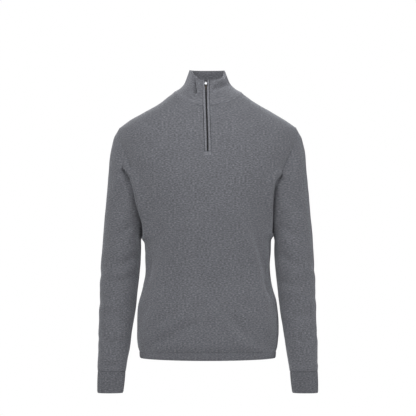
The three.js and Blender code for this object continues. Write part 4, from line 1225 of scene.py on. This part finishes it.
def build_tape(name, hand):
    z = np.linspace(ZIP_FOOT, ZIP_HEAD - 0.6, 120)
    inner = (TAPE_INNER + 1.05 * smooth(z, SLIDER_Z - 3.0, SLIDER_Z + 1.0))[:, None]
    x = inner + (TAPE_OUTER - inner) * np.linspace(0, 1, 9)[None, :]
    if hand < 0:
        x = -x[:, ::-1]
    grid = flat_on_zip(z, x, TAPE_FRONT)
    piece = new_piece(name, grid_mesh(grid, arc_uv(grid)), TAPE)
    thicken(piece, TAPE_FRONT - TAPE_BACK, 0.0)
    return piece


COIL_SIDES = 6
# The middle line of a coil's turns: how far from the zip's middle and from the knit's face, and how wide
COIL_X, COIL_OUT, COIL_SWING, COIL_DEPTH = 0.62, -0.45, 0.95, 0.62


def coil_points(hand, turns, per_turn):
    """Rings of points along one coil, parted from the other above the slider."""
    step = np.arange(turns * per_turn + 1) / per_turn
    z = ZIP_FOOT + 1.2 + (step + (0.5 if hand > 0 else 0.0)) * COIL_PITCH
    parted = 1.5 * smooth(z, SLIDER_Z - 0.5, SLIDER_Z + 4.5)
    x = hand * (COIL_X + parted - COIL_SWING * np.cos(2 * math.pi * step))
    centre = settle(zip_point(z, x, COIL_OUT + COIL_DEPTH * np.sin(2 * math.pi * step)))
    tangent = unit(np.gradient(centre, axis=0))
    side = unit(np.cross(tangent, np.array([0.0, 0.2, 1.0])))
    up = np.cross(side, tangent)
    angle = full_turn(COIL_SIDES)[None, :, None]
    return centre[:, None] + COIL_RADIUS * (np.cos(angle) * side[:, None] + np.sin(angle) * up[:, None])


def build_coils():
    """Two rows of nylon coil, their turns meshed down the middle and parted above the slider."""
    turns = int((SLIDER_Z + 6 - ZIP_FOOT - 1.5) / COIL_PITCH)
    work = bmesh.new()
    for hand in (-1, 1):
        row = grid_mesh(coil_points(hand, turns, 12), None, ring=True)
        work.from_mesh(row)
        bpy.data.meshes.remove(row)
    mesh = bpy.data.meshes.new("coils")
    work.to_mesh(mesh)
    work.free()
    piece = new_piece("zip_coils", close_ends(mesh), NYLON)
    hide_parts("zip_chain")
    return piece


PATCH_FOOT_Z, PATCH_HEAD_Z, PATCH_HALF = -155.0, -147.5, 8.0


def build_tack():
    """The small knitted patch at the zip's foot."""
    rows, columns = 14, 26
    x = np.linspace(-PATCH_HALF, PATCH_HALF, columns)[None, :] * np.ones((rows, 1))
    grid = flat_on_zip(np.linspace(PATCH_FOOT_Z, PATCH_HEAD_Z, rows), x, 1.0)
    piece = new_piece("zip_foot_patch", grid_mesh(grid, arc_uv(grid, columns // 2)), BINDING_MATERIAL)
    thicken(piece, 0.7, 0.3)
    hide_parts("zip_foot_tack")
    return piece


# The slider and its pull, drawn flat: x across, y up the zip, z out from the knit
def bevel_edges(work, edges, offset, segments):
    bmesh.ops.bevel(work, geom=edges, offset=offset, segments=segments, profile=0.5, affect="EDGES")


def rounded_plate(outline, low, high, bevel, segments=2):
    """A plate with an outline of points, its long edges rounded."""
    work = bmesh.new()
    bottom = [work.verts.new((x, y, low)) for x, y in outline]
    face = work.faces.new(bottom)
    made = bmesh.ops.extrude_face_region(work, geom=[face])
    top = [item for item in made["geom"] if isinstance(item, bmesh.types.BMVert)]
    bmesh.ops.translate(work, verts=top, vec=(0, 0, high - low))
    bmesh.ops.recalc_face_normals(work, faces=work.faces)
    level = [edge for edge in work.edges if abs(edge.verts[0].co.z - edge.verts[1].co.z) < 1e-6]
    bevel_edges(work, level, bevel, segments)
    return work


def round_outline(points, radius, steps=5):
    """The corners of an outline as arcs."""
    out = []
    count = len(points)
    for i in range(count):
        before, here, after = (Vector(points[(i + k) % count]) for k in (-1, 0, 1))
        to_before = (before - here).normalized()
        to_after = (after - here).normalized()
        cut = min(radius, (before - here).length / 2.05, (after - here).length / 2.05)
        start, end = here + to_before * cut, here + to_after * cut
        for k in range(steps + 1):
            t = k / steps
            out.append(tuple((1 - t) ** 2 * start + 2 * t * (1 - t) * here + t * t * end))
    return out


def join_pieces(works, place):
    """Several small meshes as one object mesh, moved to their place and given metres."""
    total = bmesh.new()
    for work in works:
        part = bpy.data.meshes.new("part")
        work.to_mesh(part)
        work.free()
        total.from_mesh(part)
        bpy.data.meshes.remove(part)
    total.transform(Matrix.Scale(MM, 4) @ place)
    mesh = bpy.data.meshes.new("metal")
    for face in total.faces:
        face.smooth = True
    total.to_mesh(mesh)
    total.free()
    mesh.set_sharp_from_angle(angle=math.radians(40))
    return mesh


def zip_place(z, tilt_in=0.0):
    """Where a flat-drawn piece stands: its y up the zip, its z out from the knit."""
    spot = Vector((0, float(profile_y(z)), z))
    spot.x += settle_by(np.array(spot))[0]
    tilt = math.atan(float(profile_slope(z, 3)))
    turn = Matrix.Rotation(math.pi / 2 - tilt + math.radians(tilt_in), 4, "X")
    return Matrix.Translation(spot) @ turn


def in_pair(corners):
    """An outline for each hand from the one at the wearer's left, both wound the same way."""
    return [[(hand * x, y) for x, y in corners][::hand] for hand in (1, -1)]


# Heights out from the knit's face of the slider's two plates, and its outlines
FRONT_PLATE, BACK_PLATE = (0.9, 1.7), (-3.7, -2.9)
BODY_OUTLINE = [(-2.6, -3.8), (2.6, -3.8), (3.3, 3.4), (1.2, 3.8), (-1.2, 3.8), (-3.3, 3.4)]
FLANGE = [(2.1, -3.0), (2.6, -3.0), (3.3, 3.0), (2.8, 3.0)]
POST = [(-0.9, 1.7), (0.9, 1.7), (0.9, 3.5), (-0.9, 3.5)]
# The bridge is drawn as (up the zip, out from the knit)
BRIDGE = [
    (-3.4, 1.5), (-3.4, 3.6), (-2.6, 4.5), (-0.2, 4.6), (0.8, 3.6), (0.8, 1.5),
    (0.0, 1.5), (0.0, 3.4), (-0.5, 3.8), (-2.3, 3.8), (-2.6, 3.4), (-2.6, 1.5),
]


def build_slider():
    outline = round_outline(BODY_OUTLINE, 0.9)
    plates = [rounded_plate(outline, *heights, 0.3, 3) for heights in (FRONT_PLATE, BACK_PLATE)]
    flanges = [rounded_plate(corners, -1.3, 1.2, 0.12) for corners in in_pair(FLANGE)]
    post = rounded_plate(POST, -3.2, 1.2, 0.15)
    bridge = rounded_plate(BRIDGE, -0.75, 0.75, 0.16)
    bridge.transform(Matrix(((0, 0, 1, 0), (1, 0, 0, 0), (0, 1, 0, 0), (0, 0, 0, 1))))
    bmesh.ops.recalc_face_normals(bridge, faces=bridge.faces)
    mesh = join_pieces([*plates, *flanges, post, bridge], zip_place(SLIDER_Z))
    piece = new_piece("slider_body", mesh, NICKEL)
    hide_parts("slider")
    return piece


def ring_plate(outline, hole, low, high):
    """A flat plate with a round-cornered hole: two outlines of the same count joined by strips."""
    work = bmesh.new()
    count = len(outline)
    loops = []
    for points, z in ((outline, low), (hole, low), (hole, high), (outline, high)):
        loops.append([work.verts.new((x, y, z)) for x, y in points])
    for a, b in ((0, 1), (1, 2), (2, 3), (3, 0)):
        for k in range(count):
            n = (k + 1) % count
            work.faces.new((loops[a][k], loops[a][n], loops[b][n], loops[b][k]))
    bmesh.ops.recalc_face_normals(work, faces=work.faces)
    sharp = [edge for edge in work.edges if len(edge.link_faces) == 2 and edge.calc_face_angle(0) > 1.2]
    bevel_edges(work, sharp, 0.16, 2)
    return work


def outline_at(points, count, centre):
    """Where rays from a centre meet a closed outline, at even angles."""
    ring = np.array(points + points[:1], float)
    found = []
    for k in range(count):
        angle = 2 * math.pi * (k + 0.5) / count
        way = np.array([math.cos(angle), math.sin(angle)])
        best = None
        for a, b in zip(ring[:-1], ring[1:]):
            edge = b - a
            cross = way[0] * edge[1] - way[1] * edge[0]
            if abs(cross) < 1e-9:
                continue
            rel = a - np.array(centre)
            far = (rel[0] * edge[1] - rel[1] * edge[0]) / cross
            along = (rel[0] * way[1] - rel[1] * way[0]) / cross
            if far > 0 and -1e-9 <= along <= 1 + 1e-9 and (best is None or far < best):
                best = far
        found.append(tuple(np.array(centre) + best * way))
    return found


HOLE_Y, HOLE_RADIUS, HOLE_POINTS = -9.0, 0.9, 40
PULL_HALF_THICKNESS = 0.5
TAB = [(-2.05, -3.6), (-2.3, -7.0), (-2.3, -14.5), (2.3, -14.5), (2.3, -7.0), (2.05, -3.6)]
CHEEK = [(1.25, -4.0), (2.05, -4.0), (2.05, 0.5), (1.25, 0.5)]


def build_pull():
    """A short flat pull: two cheeks round the bridge, its pin, and a tab with a round hole."""
    thickness = (-PULL_HALF_THICKNESS, PULL_HALF_THICKNESS)
    outer = outline_at(round_outline(TAB, 1.4), HOLE_POINTS, (0.0, HOLE_Y))
    turns = [2 * math.pi * (k + 0.5) / HOLE_POINTS for k in range(HOLE_POINTS)]
    hole = [(HOLE_RADIUS * math.cos(turn), HOLE_Y + HOLE_RADIUS * math.sin(turn)) for turn in turns]
    plate = ring_plate(outer, hole, *thickness)
    cheeks = [rounded_plate(round_outline(corners, 0.3, 3), *thickness, 0.14) for corners in in_pair(CHEEK)]
    pin = bmesh.new()
    bmesh.ops.create_cone(pin, cap_ends=True, segments=20, radius1=0.5, radius2=0.5, depth=3.7)
    pin.transform(Matrix.Rotation(math.pi / 2, 4, "Y"))
    place = zip_place(SLIDER_Z, 1.0)
    place.translation = PIN
    mesh = join_pieces([plate, *cheeks, pin], place)
    piece = new_piece("pull_plate", mesh, GUNMETAL, "pull_tab")
    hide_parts("pull_tab")
    return piece


HANDS = {"left": 1, "right": -1}

front = build_panel("front_panel", -1)
back = build_panel("back_panel", 1)
sleeves = {name: build_sleeve(f"sleeve_{name}", hand) for name, hand in HANDS.items()}
cuffs = {name: build_cuff(f"cuff_{name}", hand) for name, hand in HANDS.items()}
hem = build_hem_band()
collar = build_collar()
for name, hand in HANDS.items():
    build_binding(f"binding_{name}", hand)
    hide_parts(f"zip_binding_{name}")
    build_tape(f"tape_{name}", hand)
    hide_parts(f"zip_tape_{name}")
build_coils()
tack = build_tack()
build_slider()
build_pull()


# Floor, light and camera
FLOOR_HALF, FLOOR_Z = 1.3, -0.93


def build_floor():
    mesh = bpy.data.meshes.new("floor")
    corners = [(x * FLOOR_HALF, y * FLOOR_HALF, FLOOR_Z) for x, y in ((-1, -1), (1, -1), (1, 1), (-1, 1))]
    mesh.from_pydata(corners, [], [(0, 1, 2, 3)])
    floor = add_object("floor", mesh)
    material, tree, shader = node_material("pale floor")
    cloud = noise(tree, scaled(tree, object_point(tree), (3, 3, 3)))
    tree.links.new(ramp(tree, cloud, [(0.3, (0.86, 0.86, 0.86)), (0.7, (0.89, 0.89, 0.89))]),
                   shader.inputs["Base Color"])
    shader.inputs["Roughness"].default_value = 0.9
    mesh.materials.append(material)


SWEATER_MIDDLE = Vector((0, 0, -0.33))
# Place, width and height in metres, and power of each lamp
LAMPS = {
    "upper_left": ((-1.5, -2.0, 1.6), (1.2, 1.2), 30),
    "right_side": ((2.8, -1.0, 0.6), (1.2, 1.6), 25),
    "front": ((0, -1.5, 0.55), (0.8, 0.6), 12.2),
    "top": ((0, -0.6, 1.0), (0.8, 0.5), 2),
    "behind": ((-0.5, 2.4, 1.3), (1.6, 1.6), 34),
}


def build_lamps():
    for name, (place, size, power) in LAMPS.items():
        data = bpy.data.lights.new(name, "AREA")
        data.shape = "RECTANGLE"
        data.size, data.size_y = size
        data.energy = power
        lamp = add_object(name, data)
        lamp.location = place
        lamp.rotation_euler = (SWEATER_MIDDLE - lamp.location).to_track_quat("-Z", "Y").to_euler()


ROOM_LIGHT = 0.29


def build_world():
    """A white backdrop behind the sweater, while the room lights it less than the lamps do."""
    world = bpy.data.worlds.new("studio")
    world.use_nodes = True
    tree = world.node_tree
    backdrop = tree.nodes["Background"]
    room = tree.nodes.new("ShaderNodeBackground")
    for node, strength in ((backdrop, 1.0), (room, ROOM_LIGHT)):
        node.inputs["Color"].default_value = (1.0, 1.0, 1.0, 1.0)
        node.inputs["Strength"].default_value = strength
    path = tree.nodes.new("ShaderNodeLightPath")
    mix = tree.nodes.new("ShaderNodeMixShader")
    tree.links.new(path.outputs["Is Camera Ray"], mix.inputs[0])
    tree.links.new(room.outputs[0], mix.inputs[1])
    tree.links.new(backdrop.outputs[0], mix.inputs[2])
    tree.links.new(mix.outputs[0], tree.nodes["World Output"].inputs["Surface"])
    bpy.context.scene.world = world


# The camera stands level with the middle of the photo's frame
PHOTO_WIDTH_PX = 416
MM_PER_PX = 2.55
CAMERA_AWAY = 8.0
SENSOR = 36.0
CAMERA_X, CAMERA_Z = 0.0007, -0.288


def build_camera():
    data = bpy.data.cameras.new("camera")
    data.sensor_width = SENSOR
    data.lens = SENSOR * CAMERA_AWAY / (PHOTO_WIDTH_PX * MM_PER_PX * MM)
    data.clip_end = 60
    camera = add_object("camera", data)
    camera.location = (CAMERA_X, -CAMERA_AWAY, CAMERA_Z)
    camera.rotation_euler = (math.pi / 2, 0, 0)
    bpy.context.scene.camera = camera


build_floor()
build_world()
build_lamps()
build_camera()
bpy.context.scene.view_settings.view_transform = "Standard"
